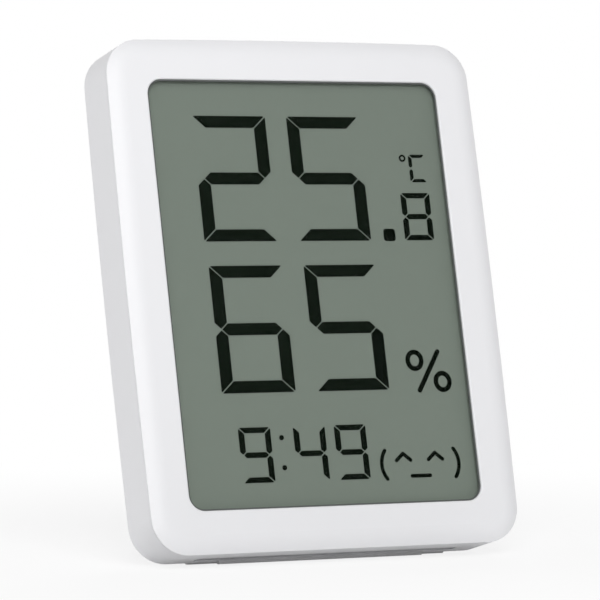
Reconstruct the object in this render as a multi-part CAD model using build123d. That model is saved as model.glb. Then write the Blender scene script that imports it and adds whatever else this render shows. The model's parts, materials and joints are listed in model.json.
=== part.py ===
from build123d import *
import math
import os

# Desktop temperature and humidity sensor with a large liquid crystal display. Millimetres.
# Each piece is drawn with the body upright: X to the right, Y from the bezel to the back, Z up from
# the bottom face. The finished assembly then leans back on its opened stand and stands on Z = 0.

# Body
body_width = 88.5
body_height = 112.0
body_depth = 14.3
outline_radius = 8.0
side_bow = 0.5
top_bow = 0.35
lean_angle = 13.6

# Clearances
part_line = 0.12
drop_in_gap = 0.2
running_gap = 0.05
moving_gap = 0.3
turning_gap = 0.12
thread_gap = 0.05
air_gap = 0.1
cut_over = 1.0
pick_reach = 0.01

# Bezel of the front housing
bezel_width = 9.15
window_radius = 3.5
pillow_run = 4.0
pillow_drop = 1.0
edge_land = 0.5
lip_depth = 0.5
lip_rounding = 0.35
skirt_thickness = 1.4
skirt_depth = 3.1

# Rear housing
wall = 1.9
back_wall = 1.6
back_edge_radius = 1.5

# Window lens and its tape
tape_thickness = 0.1
tape_show = 0.35
lens_thickness = 0.6
lens_margin = 1.6
lens_gap = 0.1
lens_radius = 3.0

# Display cell
polariser_thickness = 0.15
polariser_inset = 0.4
glass_thickness = 0.4
cell_gap = 0.1
glass_margin = 1.0
glass_ledge = 3.2
rear_glass_drop = 0.4
reflector_thickness = 0.2
seal_width = 0.4

# Display carrier, contact strip and board
carrier_web = 2.15
strip_end_gap = 5.95
strip_height = 2.0
strip_inset = 0.35
board_thickness = 1.0
board_gap = 0.7
board_screw_radius = 0.6
board_boss_radius = 1.5
board_screw_head_radius = 1.2
board_screw_head = 0.7
board_screw_reach = 2.0
board_screw_bite = 0.4
board_screw_shares = (0.17, 0.68)

# Screws that close the housing
screw_inset = 5.4
screw_radius = 0.8
screw_boss_radius = 2.0
screw_tower_radius = 2.9
screw_head_radius = 1.6
screw_head_height = 1.2
screw_head_gap = 0.3
screw_seat_depth = 1.8
screw_split_depth = 5.0
screw_bite = 4.5
screw_tip_gap = 0.5
cross_width = 0.45
cross_depth = 0.6

# Stand, its hinge and its foot beads
stand_width_share = 0.45351
stand_thickness = 1.4
stand_recess = 0.1
stand_corner = 3.0
hinge_well_gap = 2.35
hinge_barrel_radius = 1.6
hinge_pin_radius = 0.75
hinge_pin_grip = 2.4
hinge_ear = 1.5
hinge_tail = 3.0
foot_rise = 1.3
foot_radius = 0.75
finger_notch_radius = 7.0
pocket_wall = 1.3
stand_rib_depth = 0.5
stand_window_margin = 6.0

# Rubber strips along the bottom: two at the rear edge and a thin one ahead of the stand
strip_radius = 0.85
strip_height_above_bottom = 0.6
strip_proud = 0.1
strip_corner_gap = 5.25
strip_clear_of_pocket = 2.6
middle_strip_radius = 0.6
middle_strip_ahead = 0.35
middle_strip_overlap = 1.6

# Flat that the floor presses into all the rubber
rubber_flat = 0.08
rubber_pieces = ("rubber_strips", "stand_foot_beads")

# Air vents in the bottom face
vent_corner_gap = 5.1
vent_back_gap = 2.3
vent_band_width = 3.4
vent_band_depth = 0.5
vent_end_margin = 2.6
vent_slot_length = 3.0
vent_slot_width = 1.6
vent_pitch = 4.4
mesh_thickness = 0.25
mesh_margin = 0.4

# Humidity and temperature chip, with the foam that closes its air duct
chip_size = 2.5
chip_thickness = 0.9
chip_height = 8.0
gasket_half_width = 7.5
gasket_wall = 1.5
gasket_height = 12.0

# Coin cell, its well, contacts and cover
cell_radius_share = 0.13842
cell_board_gap = 1.7
cell_bevel = 0.5
well_wall = 1.25
well_board_gap = 2.3
well_side_gap = 1.15
well_top_gap = 7.35
tab_chamber_depth = 0.9
pad_radius = 8.0
pad_thickness = 0.2
pad_gap = 0.05
cover_seat_width = 1.6
cover_recess = 0.15
cover_seat_depth = 0.95
cover_ledge_gap = 0.05
cover_neck_gap = 0.75
cover_ring_wall = 0.5
tab_reach = 1.2
tab_thickness = 0.65
tab_gap = 0.1
tab_angle = 26.0
tab_notch_play = 4.0
tab_count = 3
cover_turn = 40.0
coin_slot_length = 15.0
coin_slot_width = 2.2
coin_slot_depth = 0.45
contact_sheet = 0.2
negative_width = 4.0
negative_half_length = 6.5
negative_flat_share = 0.35
positive_half_width = 2.5
positive_sheet = 0.3
positive_foot = 2.6
positive_top_gap = 1.7
positive_slot_gap = 0.6

# Push buttons and the tact switches under them
button_x_share = 0.2721
button_height_shares = {"mode": 0.8571, "set": 0.7143}
button_radius = 2.8
button_recess = 0.2
button_gap = 0.15
button_flange = 0.8
button_flange_thickness = 0.7
button_flange_gap = 0.2
button_stem_radius = 1.2
button_rounding = 0.3
button_guide_wall = 1.0
button_guide_depth = 2.3
button_travel = 0.35
switch_size = 5.0
switch_height = 1.8
switch_well_depth = 1.2
plunger_radius = 1.0
plunger_proud = 1.2

# Keyhole for a wall hook
keyhole_drop = 20.0
keyhole_radius = 3.6
keyhole_slot_width = 3.6
keyhole_rise = 7.0
keyhole_cavity_half_width = 4.2
keyhole_cavity_depth = 1.9
keyhole_cavity_clear = 0.5
keyhole_wall = 1.0

# Parts on the board
controller_size = 9.0
controller_thickness = 1.2
controller_pins = 8
pin_width = 0.35
pin_length = 1.0
pin_thickness = 0.25
crystal_radius = 1.0
crystal_length = 6.0
crystal_lead = 1.4
crystal_lead_thickness = 0.3
small_part_length = 1.6
small_part_width = 0.8
capacitor_thickness = 0.8
resistor_thickness = 0.45

# Places on the board, as shares of its width and height from its lower left corner
controller_shares = (0.5756, 0.4031)
crystal_shares = (0.3992, 0.5)
capacitor_shares = ((0.72, 0.35), (0.72, 0.39), (0.72, 0.43), (0.36, 0.40), (0.36, 0.44), (0.56, 0.14))
resistor_shares = ((0.66, 0.24), (0.70, 0.24), (0.74, 0.24), (0.30, 0.30), (0.34, 0.30), (0.44, 0.14))

# Display artwork, drawn for a window of this size and scaled to the real one. Left edges and top
# edges are counted from the window's left and top edges.
art_width = 69.9
art_height = 93.7
art_right = 0.57
art_up = 0.22
segment_gap = 0.26
segment_rounding = 0.13
big_width = 17.8
big_height = 28.0
big_stroke = 2.87
upright_stroke_share = 1.1
big_first = 9.75
big_second = 32.47
temperature_top = 7.7
humidity_top = 40.83
humidity_right = 0.35
small_width = 7.47
small_height = 10.9
small_stroke = 1.44
small_left = 58.5
small_top = 24.8
point_left = 53.4
point_width = 2.85
point_height = 2.72
point_rounding = 0.6
degree_x = 60.14
degree_top = 17.05
degree_radius = 0.82
degree_stroke = 0.4
unit_left = 61.5
unit_top = 16.1
unit_width = 4.5
unit_height = 6.5
unit_stroke = 0.98
percent_left = 55.27
percent_top = 60.06
percent_width = 10.8
percent_height = 9.5
percent_stroke = 1.05
percent_loop_width = 4.4
percent_loop_height = 4.7
time_figures = (("9", 12.95), ("4", 26.0), ("9", 35.84))
time_top = 76.05
time_width = 7.85
time_height = 12.2
time_stroke = 1.46
colon_x = 23.2
colon_tops = (78.55, 85.05)
colon_radius = 0.56
face_stroke = 0.8
bracket_lefts = (46.6, 65.56)
bracket_top = 82.09
bracket_height = 6.2
bracket_bow = 1.05
caret_lefts = (50.3, 58.15)
caret_top = 82.87
caret_width = 3.45
caret_height = 1.45
mouth_left = 53.77
mouth_width = 4.4
mouth_top = 87.81

# Places that follow from the sizes above
front_back = pillow_drop + edge_land
rear_rim = front_back + part_line
window_width = body_width - 2 * bezel_width
window_height = body_height - 2 * bezel_width
window_bottom = bezel_width
window_top = body_height - bezel_width
middle_z = body_height / 2
art_scale = min(window_width / art_width, window_height / art_height)
inner_back = body_depth - back_wall
skirt_inset = wall + drop_in_gap
carrier_inset = skirt_inset + skirt_thickness + moving_gap
board_inset = carrier_inset + board_gap

lens_front = lip_depth + tape_thickness
lens_back = lens_front + lens_thickness
polariser_front = lens_back + air_gap
glass_front = polariser_front + polariser_thickness
cell_front = glass_front + glass_thickness
cell_back = cell_front + cell_gap
reflector_front = cell_back + glass_thickness
web_front = reflector_front + reflector_thickness
board_front = web_front + carrier_web
board_back = board_front + board_thickness
glass_half_width = window_width / 2 + glass_margin
front_glass_bottom = window_bottom - glass_ledge
rear_glass_bottom = window_bottom - rear_glass_drop
glass_top = window_top + glass_margin
strip_half_length = glass_half_width - strip_end_gap

carrier_half_width = body_width / 2 - carrier_inset
board_half_width = body_width / 2 - board_inset
board_bottom = board_inset
board_top = body_height - board_inset
board_screw_x = (glass_half_width + drop_in_gap + carrier_half_width) / 2
board_screw_heights = [share * body_height for share in board_screw_shares]

screw_x = body_width / 2 - screw_inset
screw_spots = [(side * screw_x, z) for side in (-1, 1) for z in (screw_inset, body_height - screw_inset)]
screw_seat = body_depth - screw_seat_depth
screw_split = body_depth - screw_split_depth

stand_half_width = stand_width_share * body_width / 2
stand_outer = body_depth - stand_recess
stand_inner = stand_outer - stand_thickness
stand_middle = (stand_outer + stand_inner) / 2
pocket_floor = stand_inner - moving_gap
pocket_half_width = stand_half_width + moving_gap
pocket_inside = pocket_floor - pocket_wall
hinge_depth = stand_outer - hinge_barrel_radius
trough_radius = hinge_barrel_radius + moving_gap
pin_half_length = pocket_half_width + hinge_pin_grip

rubber_depth = body_depth + strip_proud - strip_radius
rubber_start = pocket_half_width + strip_clear_of_pocket
rubber_end = body_width / 2 - outline_radius - strip_corner_gap

vent_back = inner_back - vent_back_gap
vent_front = vent_back - vent_band_width
vent_band_half_length = body_width / 2 - outline_radius - vent_corner_gap
vent_run = 2 * (vent_band_half_length - vent_end_margin) - vent_slot_length
vent_count = round(vent_run / vent_pitch) + 1

cell_radius = cell_radius_share * body_width
cell_rear = inner_back - pad_thickness - 2 * pad_gap
cell_face = board_back + cell_board_gap
well_bore = cell_radius + drop_in_gap
well_front = board_back + well_board_gap
cover_neck_radius = cell_radius + cover_neck_gap
cover_radius = cover_neck_radius + cover_seat_width
tab_outer = cover_neck_radius + tab_reach
chamber_radius = tab_outer + drop_in_gap
well_radius = chamber_radius + well_wall
chamber_floor = inner_back - tab_chamber_depth
cover_face = body_depth - cover_recess
cover_ledge = body_depth - cover_seat_depth
cover_hole = cover_neck_radius + turning_gap
keyhole_z = body_height - keyhole_drop
keyhole_room_side = keyhole_cavity_half_width + keyhole_wall
cell_x = -keyhole_room_side - well_side_gap - well_radius
cell_z = body_height - well_top_gap - well_radius

tail_sweep = math.hypot(hinge_tail, stand_outer - hinge_depth) + moving_gap
hinge_room_top = tail_sweep + pocket_wall
hinge_height = cell_z - well_radius - hinge_well_gap - hinge_room_top

button_x = button_x_share * body_width
button_heights = {name: share * body_height for name, share in button_height_shares.items()}
button_face = body_depth - button_recess
button_flange_back = inner_back - button_flange_gap
button_flange_front = button_flange_back - button_flange_thickness
button_flange_radius = button_radius + button_flange
switch_top = board_back + switch_height
plunger_end = switch_top + plunger_proud

# Opening of the stand: the foot bead and all the rubber strips touch one level floor
lean = math.radians(lean_angle)
hinge_over_floor = ((hinge_height - strip_height_above_bottom) * math.cos(lean)
                    - (hinge_depth - rubber_depth) * math.sin(lean) + strip_radius)
middle_strip_depth = pocket_floor - middle_strip_ahead - middle_strip_radius
middle_strip_half = rubber_start + middle_strip_overlap
middle_strip_z = (strip_height_above_bottom + (middle_strip_radius - strip_radius
                  - (rubber_depth - middle_strip_depth) * math.sin(lean)) / math.cos(lean))
foot_offset = stand_middle - hinge_depth
foot_reach = math.hypot(hinge_height - foot_rise, foot_offset)
leg_from_plumb = math.degrees(math.acos((hinge_over_floor - foot_radius) / foot_reach))
foot_slant = math.degrees(math.atan2(foot_offset, hinge_height - foot_rise))
stand_opening = leg_from_plumb + lean_angle - foot_slant


def front_view(sketch, y_low, y_high):
    """Extrude a sketch drawn in X and Z from y_low to y_high."""
    plane = Plane(origin=(0, y_high, 0), x_dir=(1, 0, 0), z_dir=(0, -1, 0))
    return extrude(plane * sketch, amount=y_high - y_low)


def side_view(sketch, x_low, x_high):
    """Extrude a sketch drawn in Y and Z from x_low to x_high."""
    plane = Plane(origin=(x_low, 0, 0), x_dir=(0, 1, 0), z_dir=(1, 0, 0))
    return extrude(plane * sketch, amount=x_high - x_low)


def top_view(sketch, z_low, z_high):
    """Extrude a sketch drawn in X and Y from z_low to z_high."""
    return extrude(Plane.XY.offset(z_low) * sketch, amount=z_high - z_low)


def span(u_low, u_high, v_low, v_high, radius=0):
    """Rectangle between two corners, with rounded corners where a radius is given."""
    width = u_high - u_low
    height = v_high - v_low
    shape = RectangleRounded(width, height, radius) if radius else Rectangle(width, height)
    return Pos((u_low + u_high) / 2, (v_low + v_high) / 2) * shape


def block(x_low, x_high, y_low, y_high, z_low, z_high):
    """Box between two corners."""
    return front_view(span(x_low, x_high, z_low, z_high), y_low, y_high)


def disc(radius, x, z):
    """Circle at a place in X and Z, or in Y and Z for a side view."""
    return Pos(x, z) * Circle(radius)


def outer_outline():
    """The body's outer outline. Its top and sides swell slightly between the rounded corners."""
    side = body_width / 2
    bottom_left, bottom_right = (side_bow - side, 0), (side - side_bow, 0)
    top_left, top_right = (side_bow - side, body_height - top_bow), (side - side_bow, body_height - top_bow)
    edges = [Line(bottom_left, bottom_right),
             ThreePointArc(bottom_right, (side, middle_z), top_right),
             ThreePointArc(top_right, (0, body_height), top_left),
             ThreePointArc(top_left, (-side, middle_z), bottom_left)]
    face = make_face(edges)
    return fillet(face.vertices(), outline_radius)


def inner_outline(inset):
    """Straight-sided outline for what lies inside the body's wall, drawn in by an inset."""
    return span(-body_width / 2 + inset, body_width / 2 - inset, inset, body_height - inset,
                max(outline_radius - inset, window_radius / 2))


def window(margin, radius):
    """The window's outline, grown by a margin."""
    return span(-window_width / 2 - margin, window_width / 2 + margin,
                window_bottom - margin, window_top + margin, radius)


def pillow_cutter():
    """Ring that rounds the bezel off from its flat face down to the outer crease."""
    path = (Plane.XZ * outer_outline()).wire()
    start = path @ 0
    along = path % 0
    outward = along.cross(Vector(0, 1, 0))
    if outward.dot(start - Vector(0, 0, middle_z)) < 0:
        outward = -outward
    arc_radius = (pillow_run ** 2 + pillow_drop ** 2) / (2 * pillow_drop)
    arc = RadiusArc((-pillow_run, 0), (0, -pillow_drop), arc_radius)
    rest = Polyline((0, -pillow_drop), (cut_over, -pillow_drop), (cut_over, cut_over),
                    (-pillow_run, cut_over), (-pillow_run, 0))
    section = make_face([arc, rest])
    front = Vector(0, -1, 0)
    plane = Plane(origin=start, x_dir=outward, z_dir=outward.cross(front))
    return sweep(plane * section, path=path)


def front_housing():
    """Bezel with its pillowed face, lens pocket, room for the glass's ledge, skirt and screw bosses."""
    shape = front_view(outer_outline(), 0, front_back) - pillow_cutter()
    skirt = inner_outline(skirt_inset) - inner_outline(skirt_inset + skirt_thickness)
    shape += front_view(skirt, front_back, front_back + skirt_depth)
    for x, z in screw_spots:
        shape += front_view(disc(screw_boss_radius, x, z), front_back, screw_split)
    for x, z in board_screw_spots():
        shape += front_view(disc(board_boss_radius, x, z), front_back, web_front)
    shape -= front_view(window(0, window_radius), -cut_over, front_back + cut_over)
    rim = [edge for edge in shape.edges() if on_window_rim(edge)]
    shape = fillet(rim, lip_rounding)
    shape -= front_view(window(lens_margin + lens_gap, lens_radius), lip_depth, front_back + cut_over)
    shape -= block(-glass_half_width - drop_in_gap, glass_half_width + drop_in_gap, glass_front - air_gap,
                   front_back + cut_over, front_glass_bottom - drop_in_gap, window_bottom)
    for x, z in screw_spots:
        shape -= front_view(disc(screw_radius + thread_gap, x, z), screw_split - screw_bite - screw_tip_gap,
                            screw_split + cut_over)
    for x, z in board_screw_spots():
        shape -= front_view(disc(board_screw_radius + thread_gap, x, z),
                            web_front - board_screw_reach, web_front + cut_over)
    return shape


def on_window_rim(edge):
    """True for an edge of the window opening that lies on the bezel's face."""
    box = edge.bounding_box()
    flat = abs(box.min.Y) < pick_reach and abs(box.max.Y) < pick_reach
    inside = box.max.X < window_width / 2 + pick_reach and box.min.X > -window_width / 2 - pick_reach
    level = box.max.Z < window_top + pick_reach and box.min.Z > window_bottom - pick_reach
    return flat and inside and level


def board_screw_spots():
    """Places of the screws that hold the board and the display carrier."""
    return [(side * board_screw_x, z) for side in (-1, 1) for z in board_screw_heights]


def stand_pocket():
    """Hollow in the back that takes the folded stand, with the face that stops it when open."""
    low_floor = span(pocket_floor, body_depth + cut_over, -cut_over, hinge_height)
    trough = disc(trough_radius, hinge_depth, hinge_height)
    stop_offset = stand_inner - hinge_depth - running_gap
    half_plane = Pos(stop_offset + tail_sweep, 0) * Rectangle(2 * tail_sweep, 4 * tail_sweep)
    outside = Pos(hinge_depth, hinge_height) * Rot(0, 0, stand_opening) * half_plane
    tail_room = disc(tail_sweep, hinge_depth, hinge_height) & outside
    above = span(hinge_depth - tail_sweep, body_depth + cut_over, hinge_height, hinge_height + tail_sweep)
    return side_view(low_floor + trough + (tail_room & above), -pocket_half_width, pocket_half_width)


def cover_notches():
    """Gaps in the ledge that let the cover's tabs through at the open angle."""
    notches = Sketch()
    for index in range(tab_count):
        turn = tab_middle(index) - cover_turn
        notches += tab_sector(turn, tab_angle + tab_notch_play, chamber_radius)
    return notches


def tab_middle(index):
    """Angle of the middle of a cover tab, seen from the front."""
    return 90 + index * 360 / tab_count


def tab_sector(middle, width, radius):
    """Ring sector outside the cover's hole, in X and Z."""
    half = math.radians(width / 2)
    far = 2 * radius
    wedge = make_face(Polyline((0, 0), (far * math.cos(half), -far * math.sin(half)),
                               (far * math.cos(half), far * math.sin(half)), close=True))
    ring = Circle(radius) - Circle(cover_neck_radius - cover_ring_wall)
    return Pos(cell_x, cell_z) * Rot(0, 0, middle) * (ring & wedge)


def vent_slots():
    """Row of rounded slots, in X and Y."""
    middle = (vent_front + vent_back) / 2
    start = -vent_pitch * (vent_count - 1) / 2
    slots = Sketch()
    for index in range(vent_count):
        slots += Pos(start + index * vent_pitch, middle) * SlotOverall(vent_slot_length, vent_slot_width)
    return slots


def rubber_rods():
    """Rods along the bottom: one on each side of the stand and a thinner one ahead of it."""
    section = disc(strip_radius, rubber_depth, strip_height_above_bottom)
    right = side_view(section, rubber_start, rubber_end)
    middle = side_view(disc(middle_strip_radius, middle_strip_depth, middle_strip_z),
                       -middle_strip_half, middle_strip_half)
    return right + mirror(right, Plane.YZ) + middle


def rear_shell():
    """Side wall and back of the rear housing, hollow and open to the front."""
    shell = front_view(outer_outline(), rear_rim, body_depth)
    back_edges = shell.faces().sort_by(Axis.Y)[-1].edges()
    shell = fillet(back_edges, back_edge_radius)
    return shell - front_view(inner_outline(wall), rear_rim - cut_over, inner_back)


def rear_inner_forms():
    """Everything that stands inside the back: towers, well, guides and pocket walls."""
    forms = block(-pocket_half_width - pocket_wall, pocket_half_width + pocket_wall,
                  pocket_inside, inner_back, 0, hinge_height)
    ear_half = pin_half_length + hinge_ear
    bulge = trough_radius + pocket_wall
    top = hinge_height + hinge_room_top
    forms += block(-ear_half, ear_half, hinge_depth - bulge, inner_back, hinge_height - bulge, top)
    for x, z in screw_spots:
        forms += front_view(disc(screw_tower_radius, x, z), screw_split, inner_back)
    forms += front_view(disc(well_radius, cell_x, cell_z), well_front, inner_back)
    for z in button_heights.values():
        guide = button_flange_radius + button_gap + button_guide_wall
        forms += front_view(disc(guide, button_x, z), inner_back - button_guide_depth, inner_back)
    side = keyhole_room_side
    low = keyhole_z - side
    high = keyhole_z + keyhole_rise + side
    deep = inner_back - keyhole_cavity_depth - keyhole_wall
    forms += block(-side, side, deep, inner_back, low, high)
    return forms & front_view(inner_outline(wall / 2), rear_rim, body_depth)


def rear_cuts():
    """Everything that is hollow in the back: pocket, holes, seats and vents."""
    cuts = stand_pocket()
    cuts += side_view(disc(hinge_pin_radius, hinge_depth, hinge_height), -pin_half_length, pin_half_length)
    for x, z in screw_spots:
        cuts += front_view(disc(screw_head_radius + screw_head_gap, x, z), screw_seat, body_depth + cut_over)
        cuts += front_view(disc(screw_radius + air_gap, x, z), screw_split - cut_over, screw_seat)
    cuts += front_view(disc(cover_radius + turning_gap, cell_x, cell_z), cover_ledge, body_depth + cut_over)
    cuts += front_view(disc(cover_hole, cell_x, cell_z) + cover_notches(), inner_back, cover_ledge)
    cuts += front_view(disc(chamber_radius, cell_x, cell_z), chamber_floor, inner_back)
    cuts += front_view(disc(well_bore, cell_x, cell_z), well_front - cut_over, chamber_floor)
    cuts += positive_slot()
    for z in button_heights.values():
        cuts += front_view(disc(button_radius + button_gap, button_x, z), inner_back, body_depth + cut_over)
        cuts += front_view(disc(button_flange_radius + button_gap, button_x, z),
                           inner_back - button_guide_depth - cut_over, inner_back)
    cuts += keyhole_cuts()
    cuts += top_view(span(-vent_band_half_length, vent_band_half_length, vent_front, vent_back,
                          vent_slot_width / 2), -cut_over, vent_band_depth)
    cuts += top_view(vent_slots(), 0, wall + cut_over)
    cuts += rubber_rods()
    return cuts


def positive_slot():
    """Gap in the cell well that lets the positive contact reach the cell's side."""
    half = positive_half_width + positive_slot_gap
    outer = cell_x - well_radius - cut_over
    inner = cell_x - well_bore + well_wall
    return block(outer, inner, well_front - cut_over, chamber_floor - tab_gap,
                 cell_z - half, cell_z + half)


def keyhole_cuts():
    """Keyhole through the back and the room behind it for the head of a wall hook."""
    slot = disc(keyhole_radius, 0, keyhole_z)
    slot += span(-keyhole_slot_width / 2, keyhole_slot_width / 2, keyhole_z, keyhole_z + keyhole_rise)
    slot += disc(keyhole_slot_width / 2, 0, keyhole_z + keyhole_rise)
    half = keyhole_cavity_half_width
    room = span(-half, half, keyhole_z - half, keyhole_z + keyhole_rise + half, keyhole_cavity_clear)
    return (front_view(slot, inner_back, body_depth + cut_over)
            + front_view(room, inner_back - keyhole_cavity_depth, inner_back))


def rear_housing():
    """Tub that forms the side wall and the back."""
    return rear_shell() + rear_inner_forms() - rear_cuts()


def window_lens():
    """Clear sheet behind the window."""
    return front_view(window(lens_margin, lens_radius - lens_gap), lens_front, lens_back)


def lens_tape():
    """Black tape between the bezel and the lens, which shows as a thin line round the window."""
    ring = window(lens_margin, lens_radius - lens_gap) - window(-tape_show, window_radius - tape_show)
    return front_view(ring, lip_depth, lens_front)


def front_polariser():
    """Film on the front glass."""
    inset = polariser_inset
    return block(-glass_half_width + inset, glass_half_width - inset, polariser_front, glass_front,
                 rear_glass_bottom + inset, glass_top - inset)


def lcd_front_glass():
    """Front glass, longer at the bottom, where its back carries the contacts."""
    return block(-glass_half_width, glass_half_width, glass_front, cell_front, front_glass_bottom, glass_top)


def lcd_rear_glass():
    """Rear glass."""
    return block(-glass_half_width, glass_half_width, cell_back, reflector_front, rear_glass_bottom, glass_top)


def rear_reflector():
    """Rear polariser with its grey reflector."""
    inset = polariser_inset
    return block(-glass_half_width + inset, glass_half_width - inset, reflector_front, web_front,
                 rear_glass_bottom + inset, glass_top - inset)


def lcd_edge_seal():
    """Seal that holds the two glasses apart."""
    outer = span(-glass_half_width, glass_half_width, rear_glass_bottom, glass_top)
    inner = span(-glass_half_width + seal_width, glass_half_width - seal_width,
                 rear_glass_bottom + seal_width, glass_top - seal_width)
    return front_view(outer - inner, cell_front, cell_back)


def segment(points):
    """One segment of a digit: its outline drawn in by half the gap, with softened corners."""
    softened = segment_rounding * art_scale
    face = make_face(Polyline(*points, close=True))
    drawn_in = offset(face, -segment_gap * art_scale / 2 - softened, kind=Kind.INTERSECTION)
    return offset(drawn_in, softened, kind=Kind.ARC)


def digit(lit, left, top, width, height, stroke):
    """Seven-segment digit. The lit segments are named a to g, clockwise from the top, g in the middle."""
    s = stroke * art_scale
    u = s * upright_stroke_share
    half = s / 2
    in_upright = u / 2
    w = width * art_scale
    h = height * art_scale
    m = h / 2
    outlines = {
        "a": [(0, 0), (w, 0), (w - u, -s), (u, -s)],
        "b": [(w, 0), (w, half - m), (w - in_upright, -m), (w - u, half - m), (w - u, -s)],
        "c": [(w, -h), (w - u, s - h), (w - u, -half - m), (w - in_upright, -m), (w, -half - m)],
        "d": [(0, -h), (u, s - h), (w - u, s - h), (w, -h)],
        "e": [(0, -h), (0, -half - m), (in_upright, -m), (u, -half - m), (u, s - h)],
        "f": [(0, 0), (u, -s), (u, half - m), (in_upright, -m), (0, half - m)],
        "g": [(in_upright, -m), (u, half - m), (w - u, half - m), (w - in_upright, -m), (w - u, -half - m),
              (u, -half - m)],
    }
    shape = Sketch()
    for name in lit:
        shape += segment(outlines[name])
    return Pos(art_x(left), art_z(top)) * shape


def art_x(distance):
    """X of a place on the display, from its distance to the left edge of the artwork's window."""
    return (distance + art_right - art_width / 2) * art_scale


def art_z(distance):
    """Z of a place on the display, from its distance to the top edge of the artwork's window."""
    return middle_z + (art_height / 2 - distance + art_up) * art_scale


def art_disc(radius, left, top):
    """Dot on the display."""
    return disc(radius * art_scale, art_x(left), art_z(top))


def bar(start, end, thickness):
    """Straight stroke with round ends on the display, between two places given by left and top."""
    x_start, z_start = art_x(start[0]), art_z(start[1])
    x_end, z_end = art_x(end[0]), art_z(end[1])
    run = math.hypot(x_end - x_start, z_end - z_start)
    turn = math.degrees(math.atan2(z_end - z_start, x_end - x_start))
    middle = Pos((x_start + x_end) / 2, (z_start + z_end) / 2)
    return middle * Rot(0, 0, turn) * SlotCenterToCenter(run, thickness * art_scale)


def in_cell(sketch):
    """Make artwork as thick as the gap between the glasses."""
    return front_view(sketch, cell_front, cell_back)


def unit_sign():
    """Small ring and the C beside it."""
    ring = art_disc(degree_radius, degree_x, degree_top)
    ring -= art_disc(degree_radius - degree_stroke, degree_x, degree_top)
    return ring + digit("adef", unit_left, unit_top, unit_width, unit_height, unit_stroke)


def temperature_segments():
    """25.8 with its unit."""
    art = digit("abged", big_first, temperature_top, big_width, big_height, big_stroke)
    art += digit("afgcd", big_second, temperature_top, big_width, big_height, big_stroke)
    art += digit("abcdefg", small_left, small_top, small_width, small_height, small_stroke)
    bottom = temperature_top + big_height
    art += span(art_x(point_left), art_x(point_left + point_width), art_z(bottom), art_z(bottom - point_height),
                point_rounding * art_scale)
    return in_cell(art + unit_sign())


def percent_loop(left, top):
    """Upright ring of the percent sign."""
    half_width = percent_loop_width * art_scale / 2
    half_height = percent_loop_height * art_scale / 2
    stroke = percent_stroke * art_scale
    ring = Ellipse(half_width, half_height) - Ellipse(half_width - stroke, half_height - stroke)
    return Pos(art_x(left + percent_loop_width / 2), art_z(top + percent_loop_height / 2)) * ring


def percent_sign():
    """Two loops and a slash."""
    right = percent_left + percent_width
    bottom = percent_top + percent_height
    shape = percent_loop(percent_left, percent_top)
    shape += percent_loop(right - percent_loop_width, bottom - percent_loop_height)
    half = percent_stroke / 2
    lean_in = percent_loop_width / 2 + half
    return shape + bar((percent_left + lean_in, bottom - half), (right - lean_in, percent_top + half),
                       percent_stroke)


def humidity_segments():
    """65 with its unit."""
    first, second = big_first + humidity_right, big_second + humidity_right
    art = digit("afedcg", first, humidity_top, big_width, big_height, big_stroke)
    art += digit("afgcd", second, humidity_top, big_width, big_height, big_stroke)
    return in_cell(art + percent_sign())


def time_segments():
    """9:49."""
    lit = {"9": "abcdfg", "4": "bcfg"}
    art = Sketch()
    for figure, left in time_figures:
        art += digit(lit[figure], left, time_top, time_width, time_height, time_stroke)
    for top in colon_tops:
        art += art_disc(colon_radius, colon_x, top)
    return in_cell(art)


def bracket(left, side):
    """Round bracket. Side is 1 where it bows to the left and -1 where it bows to the right."""
    bottom = bracket_top + bracket_height
    ends = [(art_x(left), art_z(bracket_top)), (art_x(left), art_z(bottom))]
    bow = (art_x(left - side * bracket_bow), art_z((bracket_top + bottom) / 2))
    shape = trace(ThreePointArc(ends[0], bow, ends[1]), line_width=face_stroke * art_scale)
    for top in (bracket_top, bottom):
        shape += art_disc(face_stroke / 2, left, top)
    return shape


def comfort_segments():
    """Brackets, two carets and an underscore."""
    art = bracket(bracket_lefts[0] + bracket_bow, 1) + bracket(bracket_lefts[1] - bracket_bow, -1)
    for left in caret_lefts:
        peak = (left + caret_width / 2, caret_top)
        art += bar((left, caret_top + caret_height), peak, face_stroke)
        art += bar(peak, (left + caret_width, caret_top + caret_height), face_stroke)
    art += bar((mouth_left, mouth_top), (mouth_left + mouth_width, mouth_top), face_stroke)
    return in_cell(art)


def corner_notches(depth_low, depth_high):
    """Room for the four screw bosses at the corners of an inner piece."""
    reach = screw_boss_radius + moving_gap
    cuts = []
    for x, z in screw_spots:
        side = math.copysign(body_width / 2, x)
        end = 0 if z < middle_z else body_height
        low_x, high_x = sorted((x - math.copysign(reach, x), side))
        low_z, high_z = sorted((z + (reach if end == 0 else -reach), end))
        cuts.append(block(low_x, high_x, depth_low, depth_high, low_z, high_z))
    return cuts


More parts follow.
